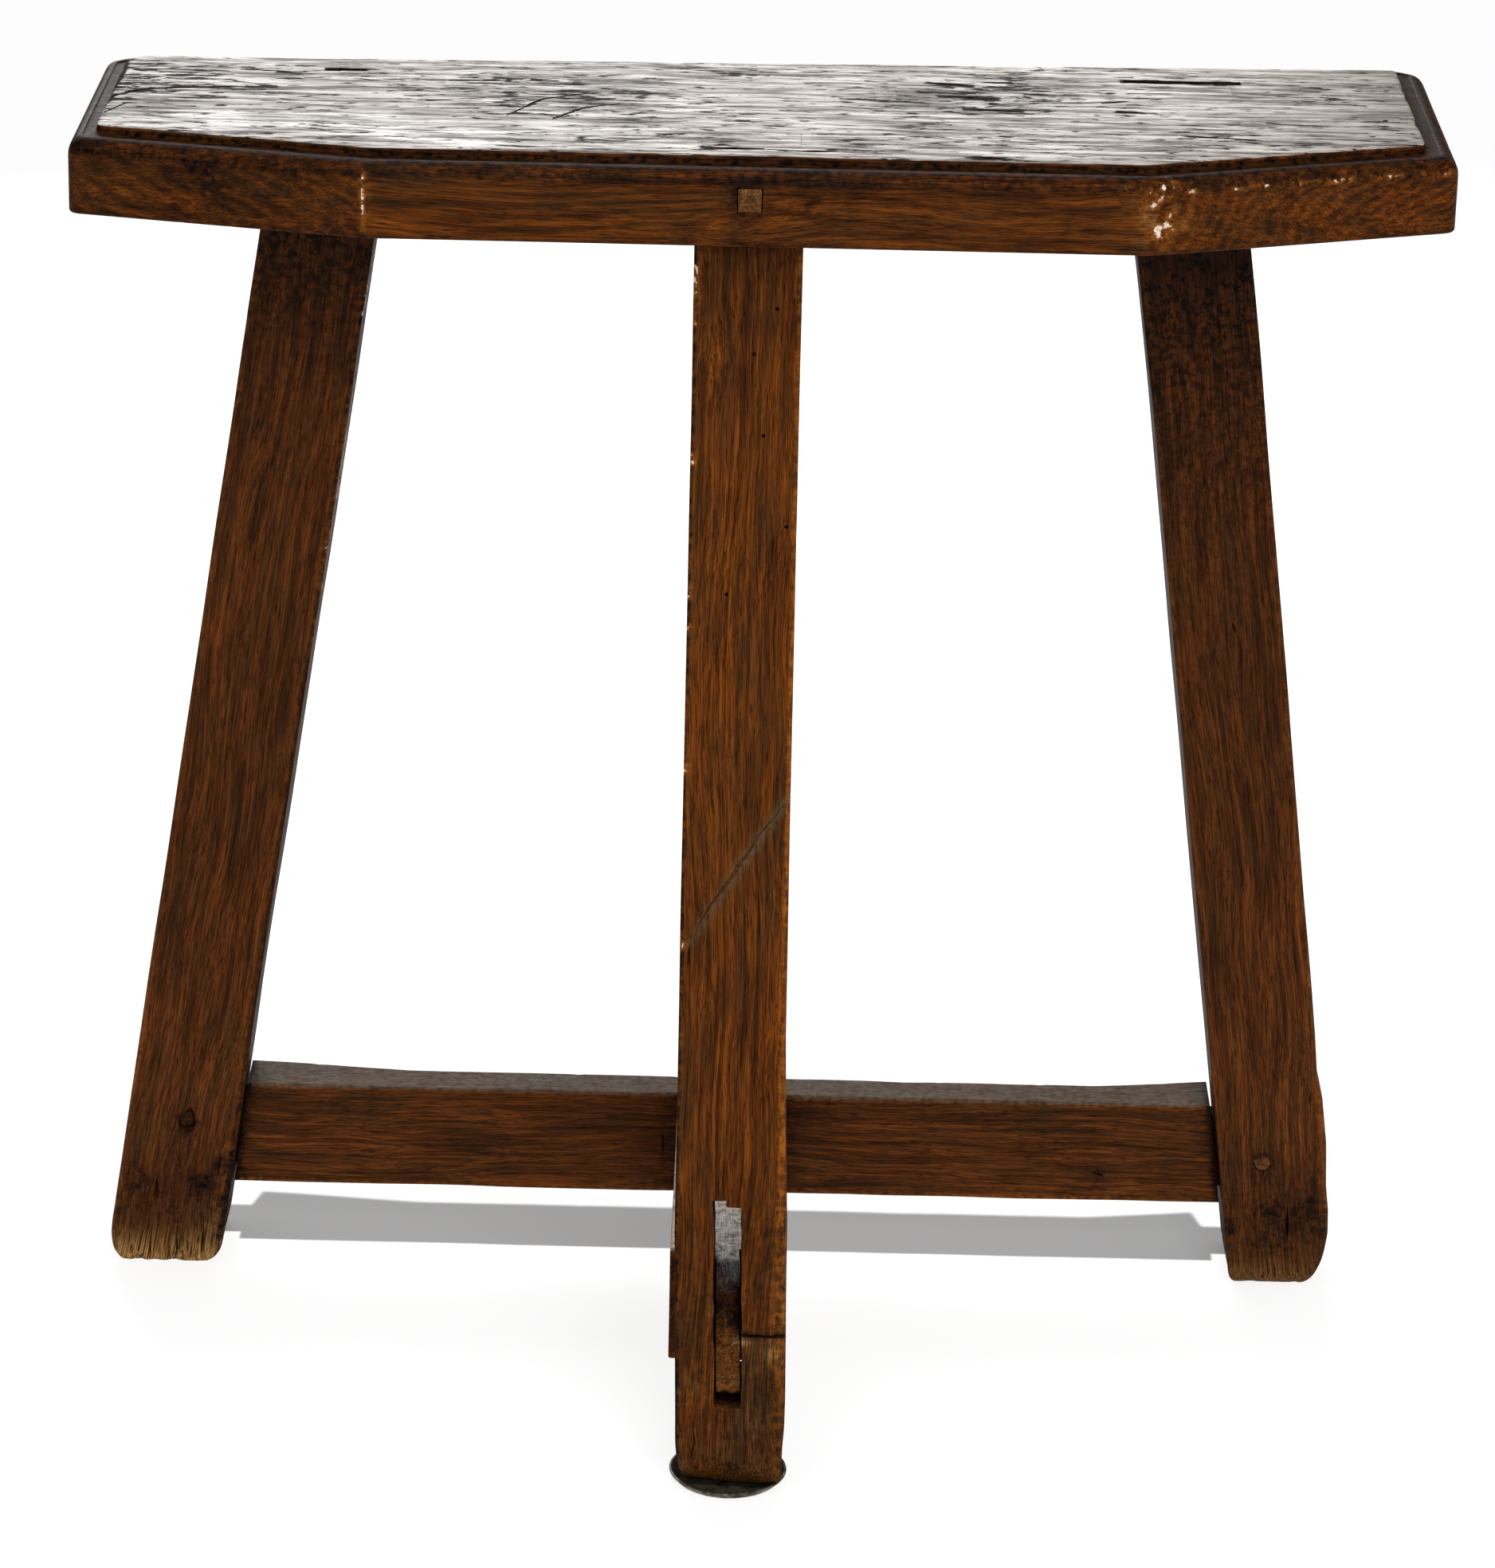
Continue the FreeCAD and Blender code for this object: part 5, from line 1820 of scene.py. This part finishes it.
    def build(self, front: Timber, left: Timber, right: Timber, rubbed: Material) -> None:
        """Build all legs.

        Args:
            front: the front leg.
            left: the left rear leg.
            right: the right rear leg.
            rubbed: the finish of the tenons' ends in the seat.
        """
        self.build_front(front, rubbed)
        for leg, splay, peg, mortise, lines, seed, pith in (
                (left, self.stance.left_splay, LEFT_PEG_XZ, self.left_mortise, self.left_lines, 220, (75.0, 92.0)),
                (right, self.stance.right_splay, RIGHT_PEG_XZ, self.right_mortise, self.right_lines, 240,
                 (-70.0, 88.0))):
            self.build_rear(leg, splay, (peg[0], self.bore_y, peg[1]), box_skin(*mortise),
                            self.shakes(lines, seed), pith, rubbed)


@dataclass
class Rails:
    """The rear rail between the rear legs, and the medial rail from it to the front leg."""

    stance: Stance
    front_y: float = 108.39
    thin: float = 23.4
    thick: float = 33.0
    thick_length: float = 3.0
    ramp_lengths: Pair = (86.0, 60.0)
    stub: Pair = (7.0, 20.0)
    stub_length: float = 40.0
    through_half: float = 5.9
    medial_half: float = 28.5
    back_tenon_half: float = 15.0
    left_swell: Pair = (4.4, 0.023)
    lines: Lines = (
        (((190.0, 62.0), (198.0, 59.0)), 3.2, 2.0), (((-190.0, 84.0), (-120.0, 82.0)), 0.7, 1.2),
        (((84.0, 90.0), (160.0, 88.0)), 0.7, 1.2), (((-38.0, 80.0), (-37.0, 66.0)), 2.0, 1.5))

    def middle_z(self) -> float:
        """Give the rails' middle height."""
        return (self.stance.rail_bottom + self.stance.rail_top) / 2.0

    def shoulder(self, foot: Place, splay: float, side: float, swell: Pair) -> Plane:
        """Give the plane of a rear leg's inner face, with its swell at the floor and the swell's fall above.

        Args:
            foot: the leg's foot.
            splay: its turn about Y in degrees.
            side: where the rail lies from it, 1 for right.
            swell: the swell and its fall.

        Returns:
            The plane.
        """
        angle = math.radians(splay)
        across = self.stance.rear_half[0] / math.cos(angle) + self.stance.shoulder_gap + swell[0]
        return Plane((foot[0] + side * across, 0.0, 0.0), (1.0, 0.0, side * swell[1] - math.tan(angle)))

    def build_rear(self) -> None:
        """Build the rear rail, thinned along its back, with a stub tenon at each end."""
        left = self.shoulder(self.stance.left_foot, self.stance.left_splay, 1.0, self.left_swell)
        right = self.shoulder(self.stance.right_foot, self.stance.right_splay, -1.0, (0.0, 0.0))
        left_x, right_x = (plane.point[0] - plane.normal[2] * self.middle_z() for plane in (left, right))
        rise, (left_ramp, right_ramp) = self.thick - self.thin, self.ramp_lengths
        swell = ((left_x + self.thick_length, rise), (left_x + self.thick_length + left_ramp, 0.0),
                 (right_x - self.thick_length - right_ramp, 0.0), (right_x - self.thick_length, rise))
        timber = Timber(
            "rear_stretcher", (0.0, self.front_y + self.thin / 2.0, self.middle_z()), ALONG_X,
            (self.thin / 2.0, self.medial_half), left, right,
            Tenon(self.stub, (0.0, 0.0), Plane.across(0, left_x - self.stub_length)),
            Tenon(self.stub, (0.0, 0.0), Plane.across(0, right_x + self.stub_length)),
            arris_mm=(0.8, 2.6), seed=27, swells={Side.RIGHT: swell})
        piece = timber.skin().build("rear_stretcher_worn")
        mortise = box_skin((-8.7, 90.0, 58.3), (5.0, 150.0, 88.7))
        bores = [drill((x, 90.0, z), FORWARD, PEG_BORE_MM, 54.0) for x, z in (LEFT_PEG_XZ, RIGHT_PEG_XZ)]
        marks = blades(self.lines, lambda x, z: (x, self.front_y, z), FORWARD, 0.6, 250)
        carve(piece, [(Cut.REMOVE, [mortise] + bores + marks), (Cut.REMOVE, [drill(*WELL)])])
        points = mesh_points(piece)
        x, y = points[:, 0], points[:, 1]
        off = [np.abs(x - plane.point[0] + plane.normal[2] * points[:, 2]) for plane in (left, right)]
        # Dark joint lines at the shoulders, with painted shade spreading from them along the rail.
        ends = sum(1.2 * np.exp(-(one / 2.4) ** 2) + 0.4 * np.exp(-one / 12.0) for one in off)
        # Painted shade on the front face where the medial rail meets it.
        middle = np.exp(-(np.clip(np.abs(x + 1.85) - 28.0, 0.0, None) / 9.0)) * (y < self.front_y + 2.0)
        knot = spot(points, (194.7, self.front_y, 60.0), (7.0, 4.0, 6.0))
        patches = mottle(260, points, (26.0, 12.0, 9.0))
        # The top face takes the scuff colour: worn grey, partly a painted sheen.
        above = ramp(points[:, 2] - self.stance.rail_top, -2.0, -0.5)
        paint(piece, np.minimum(0.9 * timber.arris_wear(points, 1.6) * (0.5 + 0.5 * patches), 0.7) * (1.0 - above),
              ends + 0.7 * middle + 0.7 * knot + 0.25 * patches * (1.0 - above), np.zeros(len(points)), above)
        finish = OakFinish("waxed_oak_rear_rail", Grain(timber.foot, (0.0, 90.0, 0.0), (64.0, 40.0)),
                           scuff="#6f6253", body="#4e2609", warm="#84461a")
        settle(piece, "rear_stretcher", finish.material())

    def build_medial(self, face_y: float) -> None:
        """Build the medial rail, whose front tenon shows in the front leg's slot.

        Args:
            face_y: the front leg's front face at the floor.
        """
        slope = -math.tan(math.radians(self.stance.front_lean))
        depth = 2.0 * self.stance.front_half[1] / math.cos(math.radians(self.stance.front_lean))
        lean = (0.0, 1.0, -slope)
        timber = Timber(
            "medial_stretcher", (self.stance.front_foot[0], 0.0, self.middle_z()), ALONG_Y,
            (self.medial_half, self.medial_half), Plane((0.0, face_y + depth + self.stance.gap, 0.0), lean),
            Plane.across(1, self.front_y - self.stance.gap),
            Tenon((self.medial_half, self.through_half), (0.0, 0.0), Plane((0.0, face_y + 5.0, 0.0), lean)),
            Tenon((self.back_tenon_half, self.through_half), (0.0, 0.0),
                  Plane.across(1, self.front_y + self.thin)),
            arris_mm=(1.0, 2.8), seed=33)
        skin = timber.skin()
        self.break_tenon(skin, face_y, slope)
        piece = skin.build("medial_stretcher_worn")
        carve(piece, [(Cut.REMOVE, [drill(*WELL)])])
        points = mesh_points(piece)
        x, y = points[:, 0], points[:, 1]
        # Painted shade on the part of the rail inside the front leg's slot.
        inside = ramp(y, -92.0, -98.0)
        tip = ramp(y, -131.0, -134.0)
        patches = mottle(280, points, (5.0, 5.0, 6.0))
        rim = tip * ramp(x, 1.0, 4.0)
        # Painted highlight: the top just behind the slot takes the near-white scuff colour, as light falling into
        # the slot.
        above = ramp(points[:, 2] - self.stance.rail_top, -2.0, -0.5)
        paint(piece, timber.arris_wear(points) * 0.6 + tip * 0.2,
              1.1 * inside * (1.0 - 0.75 * tip) + 0.35 * tip * patches,
              rim * patches * 1.4 + 0.12 * tip, above * (1.0 - inside) * 1.3)
        # Its scuff colour is near white, for that painted highlight.
        finish = OakFinish("waxed_oak_medial_rail", Grain(timber.foot, (-90.0, 0.0, 0.0), (48.0, 60.0)),
                           scuff="#dcd6cc", ring_mm=2.4, ring_share=0.6)
        settle(piece, "medial_stretcher", finish.material())

    def break_tenon(self, skin: Skin, face_y: float, slope: float) -> None:
        """Break the tenon's end back in rags, most at its upper right, and let it drift with the slot.

        Args:
            skin: the rail's skin, which is changed.
            face_y: the front leg's front face at the floor.
            slope: how far that face leans back for each millimetre up.
        """
        x, y, z = skin.points.copy().T
        deep = y - face_y - slope * z
        front = np.clip(1.0 - (deep - 5.0) / 8.0, 0.0, 1.0)
        in_slot = np.clip(1.0 - (deep - 36.0) / 12.0, 0.0, 1.0)
        corner = np.clip((x - 0.5) / 5.0, 0.0, 1.2) * np.clip((z - 70.0) / 30.0, 0.0, 1.0)
        rags = sway(290, skin.points, (3.4, 3.4, 4.5))
        skin.points[:, 2] -= front * (13.0 * corner ** 2 + 2.0 * rags * (z > 80.0))
        skin.points[:, 2] += front * 8.0 * np.clip((58.0 - z) / 12.0, 0.0, 1.0) * (0.7 + 0.5 * rags)
        skin.points[:, 1] += front * (2.6 * rags + 3.0 * corner)
        skin.points[:, 0] += in_slot * self.stance.drift(z)

    def build(self, face_y: float) -> None:
        """Build both rails."""
        self.build_rear()
        self.build_medial(face_y)


@dataclass
class Pegs:
    """The pegs that show: a square one in the seat's front edge, round ones in the rear legs."""

    square: tuple[Place, Place] = ((-7.35, -83.0, 635.3), (3.65, -13.6, 646.3))
    round_half: float = 4.5
    round_places: tuple[tuple[str, Pair, float, float], ...] = (
        ("left_stretcher_peg", LEFT_PEG_XZ, 100.4, 144.2), ("right_stretcher_peg", RIGHT_PEG_XZ, 96.4, 144.8))

    def build(self) -> None:
        """Build the pegs as short timbers driven from front to back, with hammered heads."""
        material = OakFinish("riven_oak_pegs", Grain((0.0, 0.0, 640.0), (-90.0, 0.0, 0.0), (9.0, 30.0)),
                             body="#6a4020", warm="#a9713c", ring_mm=1.6, roughness=0.6).material()
        low, high = self.square
        half = (high[2] - low[2]) / 2.0
        middle = ((low[0] + high[0]) / 2.0, 0.0, (low[2] + high[2]) / 2.0)
        pieces = [("front_tenon_peg", middle, half, low[1], high[1], (0.5, 1.1))]
        for name, (x, z), front, back in self.round_places:
            pieces.append((name, (x, 0.0, z), self.round_half, front, back, (4.3, 4.45)))
        for at, (name, axis, size, front, back, arris) in enumerate(pieces):
            self.build_peg(Timber(
                name, axis, ALONG_Y, (size, size), Plane.across(1, front),
                Plane.across(1, back), arris_mm=arris, wave_mm=0.15, step_mm=1.2, fine_mm=0.5,
                seed=300 + 10 * at, parings=tuple(Paring(side.value, 1.0, 1.3) for side in Side)), front, material)

    def build_peg(self, peg: Timber, front: float, material: Material) -> None:
        """Build one peg, its head's middle proud and its rim bruised.

        Args:
            peg: the peg.
            front: its head's place on Y.
            material: its finish.
        """
        skin = peg.skin()
        head = np.exp(-np.clip(skin.points[:, 1] - front, 0.0, None) / 1.5)
        skin.points[:, 1] += head * 0.5 * (1.0 + Unevenness(peg.seed + 5).at(skin.points, (3.0, 3.0, 3.0)))
        piece = skin.build(peg.name + "_worn")
        points = mesh_points(piece)
        tip = np.exp(-np.clip(points[:, 1] - front, 0.0, None) / 2.0)
        patches = mottle(peg.seed + 6, points, (3.0, 3.0, 3.0))
        dark = 0.85 if "left" in peg.name else 0.15
        paint(piece, np.minimum(peg.arris_wear(points, 1.0), 0.7) * tip,
              0.9 - (0.9 - dark) * tip + 0.5 * patches * tip, 0.5 * patches * tip)
        settle(piece, peg.name, material)


@dataclass
class Dish:
    """The round dished glide under the front foot, a little bruised round its rim."""

    middle: Place = (0.95, -128.97, 0.0)
    radius: float = 29.3
    base: float = 25.5
    height: float = 4.2
    sheet: float = 1.3
    around: int = 120

    def profile(self) -> Array:
        """Give the section from the inner middle over the rim to the outer middle.

        Returns:
            The section's points, each as radius and height.
        """
        inner = self.base - 1.0
        return np.array([
            (inner * 0.3, self.sheet), (inner * 0.7, self.sheet), (inner - 2.0, self.sheet),
            (inner, self.sheet + 0.25), (inner + 1.6, self.sheet + 1.2), (self.radius - 1.5, self.height - 0.3),
            (self.radius - 1.1, self.height - 0.02), (self.radius - 0.5, self.height),
            (self.radius - 0.1, self.height - 0.25), (self.radius - 0.15, self.height - 0.9),
            (self.base + 1.9, 1.5), (self.base + 0.9, 0.45), (self.base - 0.6, 0.05), (self.base - 2.5, 0.0),
            (self.base * 0.6, 0.0), (self.base * 0.3, 0.0),
        ])

    def build(self) -> None:
        """Turn the section round its middle, bruise the wall, and drill the nail holes."""
        angles = np.arange(self.around) * 2.0 * np.pi / self.around
        profile = self.profile()
        rings = np.empty((len(profile), self.around, 3))
        rings[..., 0] = profile[:, :1] * np.cos(angles) + self.middle[0]
        rings[..., 1] = profile[:, :1] * np.sin(angles) + self.middle[1]
        rings[..., 2] = profile[:, 1:]
        wall = np.clip((rings[..., 2] - self.sheet) / (self.height - self.sheet), 0.0, 1.0)
        rings[..., 2] += wall * 0.35 * Unevenness(400).at(rings, (11.0, 11.0, 40.0))
        piece = ring_skin(rings).build("foot_dish_worn")
        nails = [drill((x, self.middle[1], 4.0), UP, NAIL_BORE_MM, 8.0) for x in NAILS_X]
        carve(piece, [(Cut.REMOVE, nails)])
        finish = MetalFinish("pressed_steel_glide", "#8b8673", "#3a3122")
        settle(piece, "foot_dish", finish.material())


# The stage

@dataclass
class Studio:
    """White ground, plain soft light and the photograph's camera."""

    camera_place_mm: Place = (7.0, -2689.9, 1333.7)
    camera_pitch: float = 20.6635
    camera_yaw: float = 0.086
    camera_roll: float = 1.2825
    focal_px: float = 7219.4
    picture_px: tuple[int, int] = (1876, 1968)
    sensor_mm: float = 36.0
    floor_size_mm: float = 12000.0

    def place_camera(self) -> None:
        """Place the camera as the photograph's vanishing lines give it."""
        data = bpy.data.cameras.new("camera")
        data.sensor_width = self.sensor_mm
        data.sensor_fit = "AUTO"
        data.lens = self.focal_px * self.sensor_mm / max(self.picture_px)
        camera = bpy.data.objects.new("camera", data)
        turn = Euler((math.radians(90.0 - self.camera_pitch), 0.0, math.radians(self.camera_yaw))).to_matrix()
        roll = Matrix.Rotation(math.radians(self.camera_roll), 4, "Z")
        camera.matrix_world = Matrix.Translation(Vector(self.camera_place_mm) * MM) @ turn.to_4x4() @ roll
        bpy.context.scene.collection.objects.link(camera)
        bpy.context.scene.camera = camera

    def lay_floor(self) -> Item:
        """Lay the ground: plain white to the camera, a little darker where the stool shades it.

        Returns:
            The ground.
        """
        half = self.floor_size_mm / 2.0
        mesh = bpy.data.meshes.new("ground")
        corners = [(-half, -half), (half, -half), (half, half), (-half, half)]
        mesh.from_pydata([(x * MM, y * MM, 0.0) for x, y in corners], [], [(0, 1, 2, 3)])
        floor = bpy.data.objects.new("ground", mesh)
        bpy.context.scene.collection.objects.link(floor)
        paper = bpy.data.materials.new("matt_white_paper")
        paper.use_nodes = True
        tree = paper.node_tree
        tree.nodes.clear()
        matt = add(tree, "BsdfDiffuse", None, {"Color": (0.46, 0.46, 0.46, 1.0)})
        lift = add(tree, "Emission", None, {"Color": WHITE, "Strength": 0.1})
        seen = add(tree, "AddShader", None, {0: matt.outputs[0], 1: lift.outputs[0]})
        unseen = add(tree, "BsdfDiffuse", None, {"Color": (0.35, 0.35, 0.35, 1.0)})
        path = add(tree, "LightPath")
        mixed = add(tree, "MixShader", None, {
            0: path.outputs["Is Camera Ray"], 1: unseen.outputs[0], 2: seen.outputs[0]})
        add(tree, "OutputMaterial", None, {"Surface": mixed.outputs[0]})
        mesh.materials.append(paper)
        return floor

    def hang_lamps(self, floor: Item, rail: Item) -> None:
        """Hang a high lamp, a soft box before the faces, one behind for the sheen on the seat, and a floor lamp.

        The photograph's ground is white but for the shadow of the rear rail. So the floor lamp lights the
        ground alone and only the rail blocks it, and the high lamp leaves the ground out.

        Args:
            floor: the ground.
            rail: the rear rail.
        """
        high = self.hang("high_lamp", "SUN", (0.0, -340.0, 1000.0), 1.3, math.radians(5.0))
        self.hang("front_box", "AREA", (700.0, -2600.0, 1500.0), 26.0, 1.2)
        self.hang("back_box", "AREA", (-230.0, 1900.0, 1230.0), 24.0, 1.4)
        low = self.hang("floor_lamp", "SUN", (0.0, -520.0, 1000.0), 5.3, math.radians(2.0))
        ground, blocker = bpy.data.collections.new("ground_only"), bpy.data.collections.new("rail_only")
        ground.objects.link(floor)
        blocker.objects.link(rail)
        low.light_linking.receiver_collection = ground
        low.light_linking.blocker_collection = blocker
        others = bpy.data.collections.new("not_the_ground")
        others.objects.link(floor)
        high.light_linking.receiver_collection = others
        others.collection_objects[0].light_linking.link_state = "EXCLUDE"
        world = bpy.data.worlds.new("white_room")
        bpy.context.scene.world = world
        world.use_nodes = True
        tree = world.node_tree
        tree.nodes.clear()
        path = add(tree, "LightPath")
        strength = add(tree, "MapRange", None, {
            "Value": path.outputs["Is Glossy Ray"], "To Min": 0.4, "To Max": 0.15}).outputs["Result"]
        room = add(tree, "Background", None, {"Color": WHITE, "Strength": strength})
        seen = add(tree, "Background", None, {"Color": WHITE, "Strength": 1.0})
        direct = add(tree, "Math", {"operation": "MAXIMUM"}, {
            0: path.outputs["Is Camera Ray"], 1: path.outputs["Is Transmission Ray"]})
        mixed = add(tree, "MixShader", None, {0: direct.outputs[0], 1: room.outputs[0], 2: seen.outputs[0]})
        add(tree, "OutputWorld", None, {"Surface": mixed.outputs[0]})

    @staticmethod
    def hang(name: str, kind: str, place: Place, power: float, spread: float) -> Item:
        """Hang a lamp that faces the middle of the stool.

        Args:
            name: its name.
            kind: SUN or AREA.
            place: where it hangs, which gives a sun its way.
            power: its energy.
            spread: a sun's angle, or the side of a square box in metres.

        Returns:
            The lamp.
        """
        data = bpy.data.lights.new(name, kind)
        setattr(data, "angle" if kind == "SUN" else "size", spread)
        data.energy = power
        lamp = bpy.data.objects.new(name, data)
        start = Vector(place) * MM
        way = (Vector((0.0, 0.0, 0.4)) if kind == "AREA" else Vector()) - start
        lamp.matrix_world = Matrix.Translation(start) @ way.to_track_quat("-Z", "Y").to_matrix().to_4x4()
        bpy.context.scene.collection.objects.link(lamp)
        return lamp


def dress_hidden() -> None:
    """Give the pieces that stay as CAD solids, out of sight in their holes, the same oak and iron."""
    oak = OakFinish("riven_oak_hidden", Grain((0.0, 0.0, 640.0), (-90.0, 0.0, 0.0), (9.0, 30.0))).material()
    iron = MetalFinish("drawn_iron_nails", "#5d5850", "#2a1c14", roughness=0.55, patch_mm=4.0).material()
    hidden = {"left_rear_tenon_peg": oak, "right_rear_tenon_peg": oak, "medial_stretcher_peg": oak,
              "foot_dish_nails": iron}
    for name, material in hidden.items():
        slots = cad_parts[name].data.materials
        for at in range(len(slots)):
            slots[at] = material
        LOG.info("dressed %s", name)


def main() -> None:
    """Build the stool's pieces in order, dress them and light them."""
    logging.basicConfig(level=logging.INFO, format="%(message)s")
    stance = Stance()
    legs = Legs(stance)
    front, left, right = legs.front(), legs.left(), legs.right()
    seat_grain = Grain((0.0, 0.0, 638.0), (0.0, 90.0, 0.0), (86.0, 128.0))
    plank = OakFinish("waxed_oak_plank", seat_grain, ring_mm=2.9, ring_share=0.6)
    rubbed = RubbedTopFinish("rubbed_oak_top").material()
    Seat(stance).build([front, left, right], plank, rubbed)
    legs.build(front, left, right, rubbed)
    Rails(stance).build(legs.face_y(0.0))
    Pegs().build()
    Dish().build()
    dress_hidden()
    studio = Studio()
    studio.place_camera()
    studio.hang_lamps(studio.lay_floor(), bpy.data.objects["rear_stretcher_worn"])
    bpy.context.scene.view_settings.view_transform = "Standard"


if __name__ == "__main__":
    main()
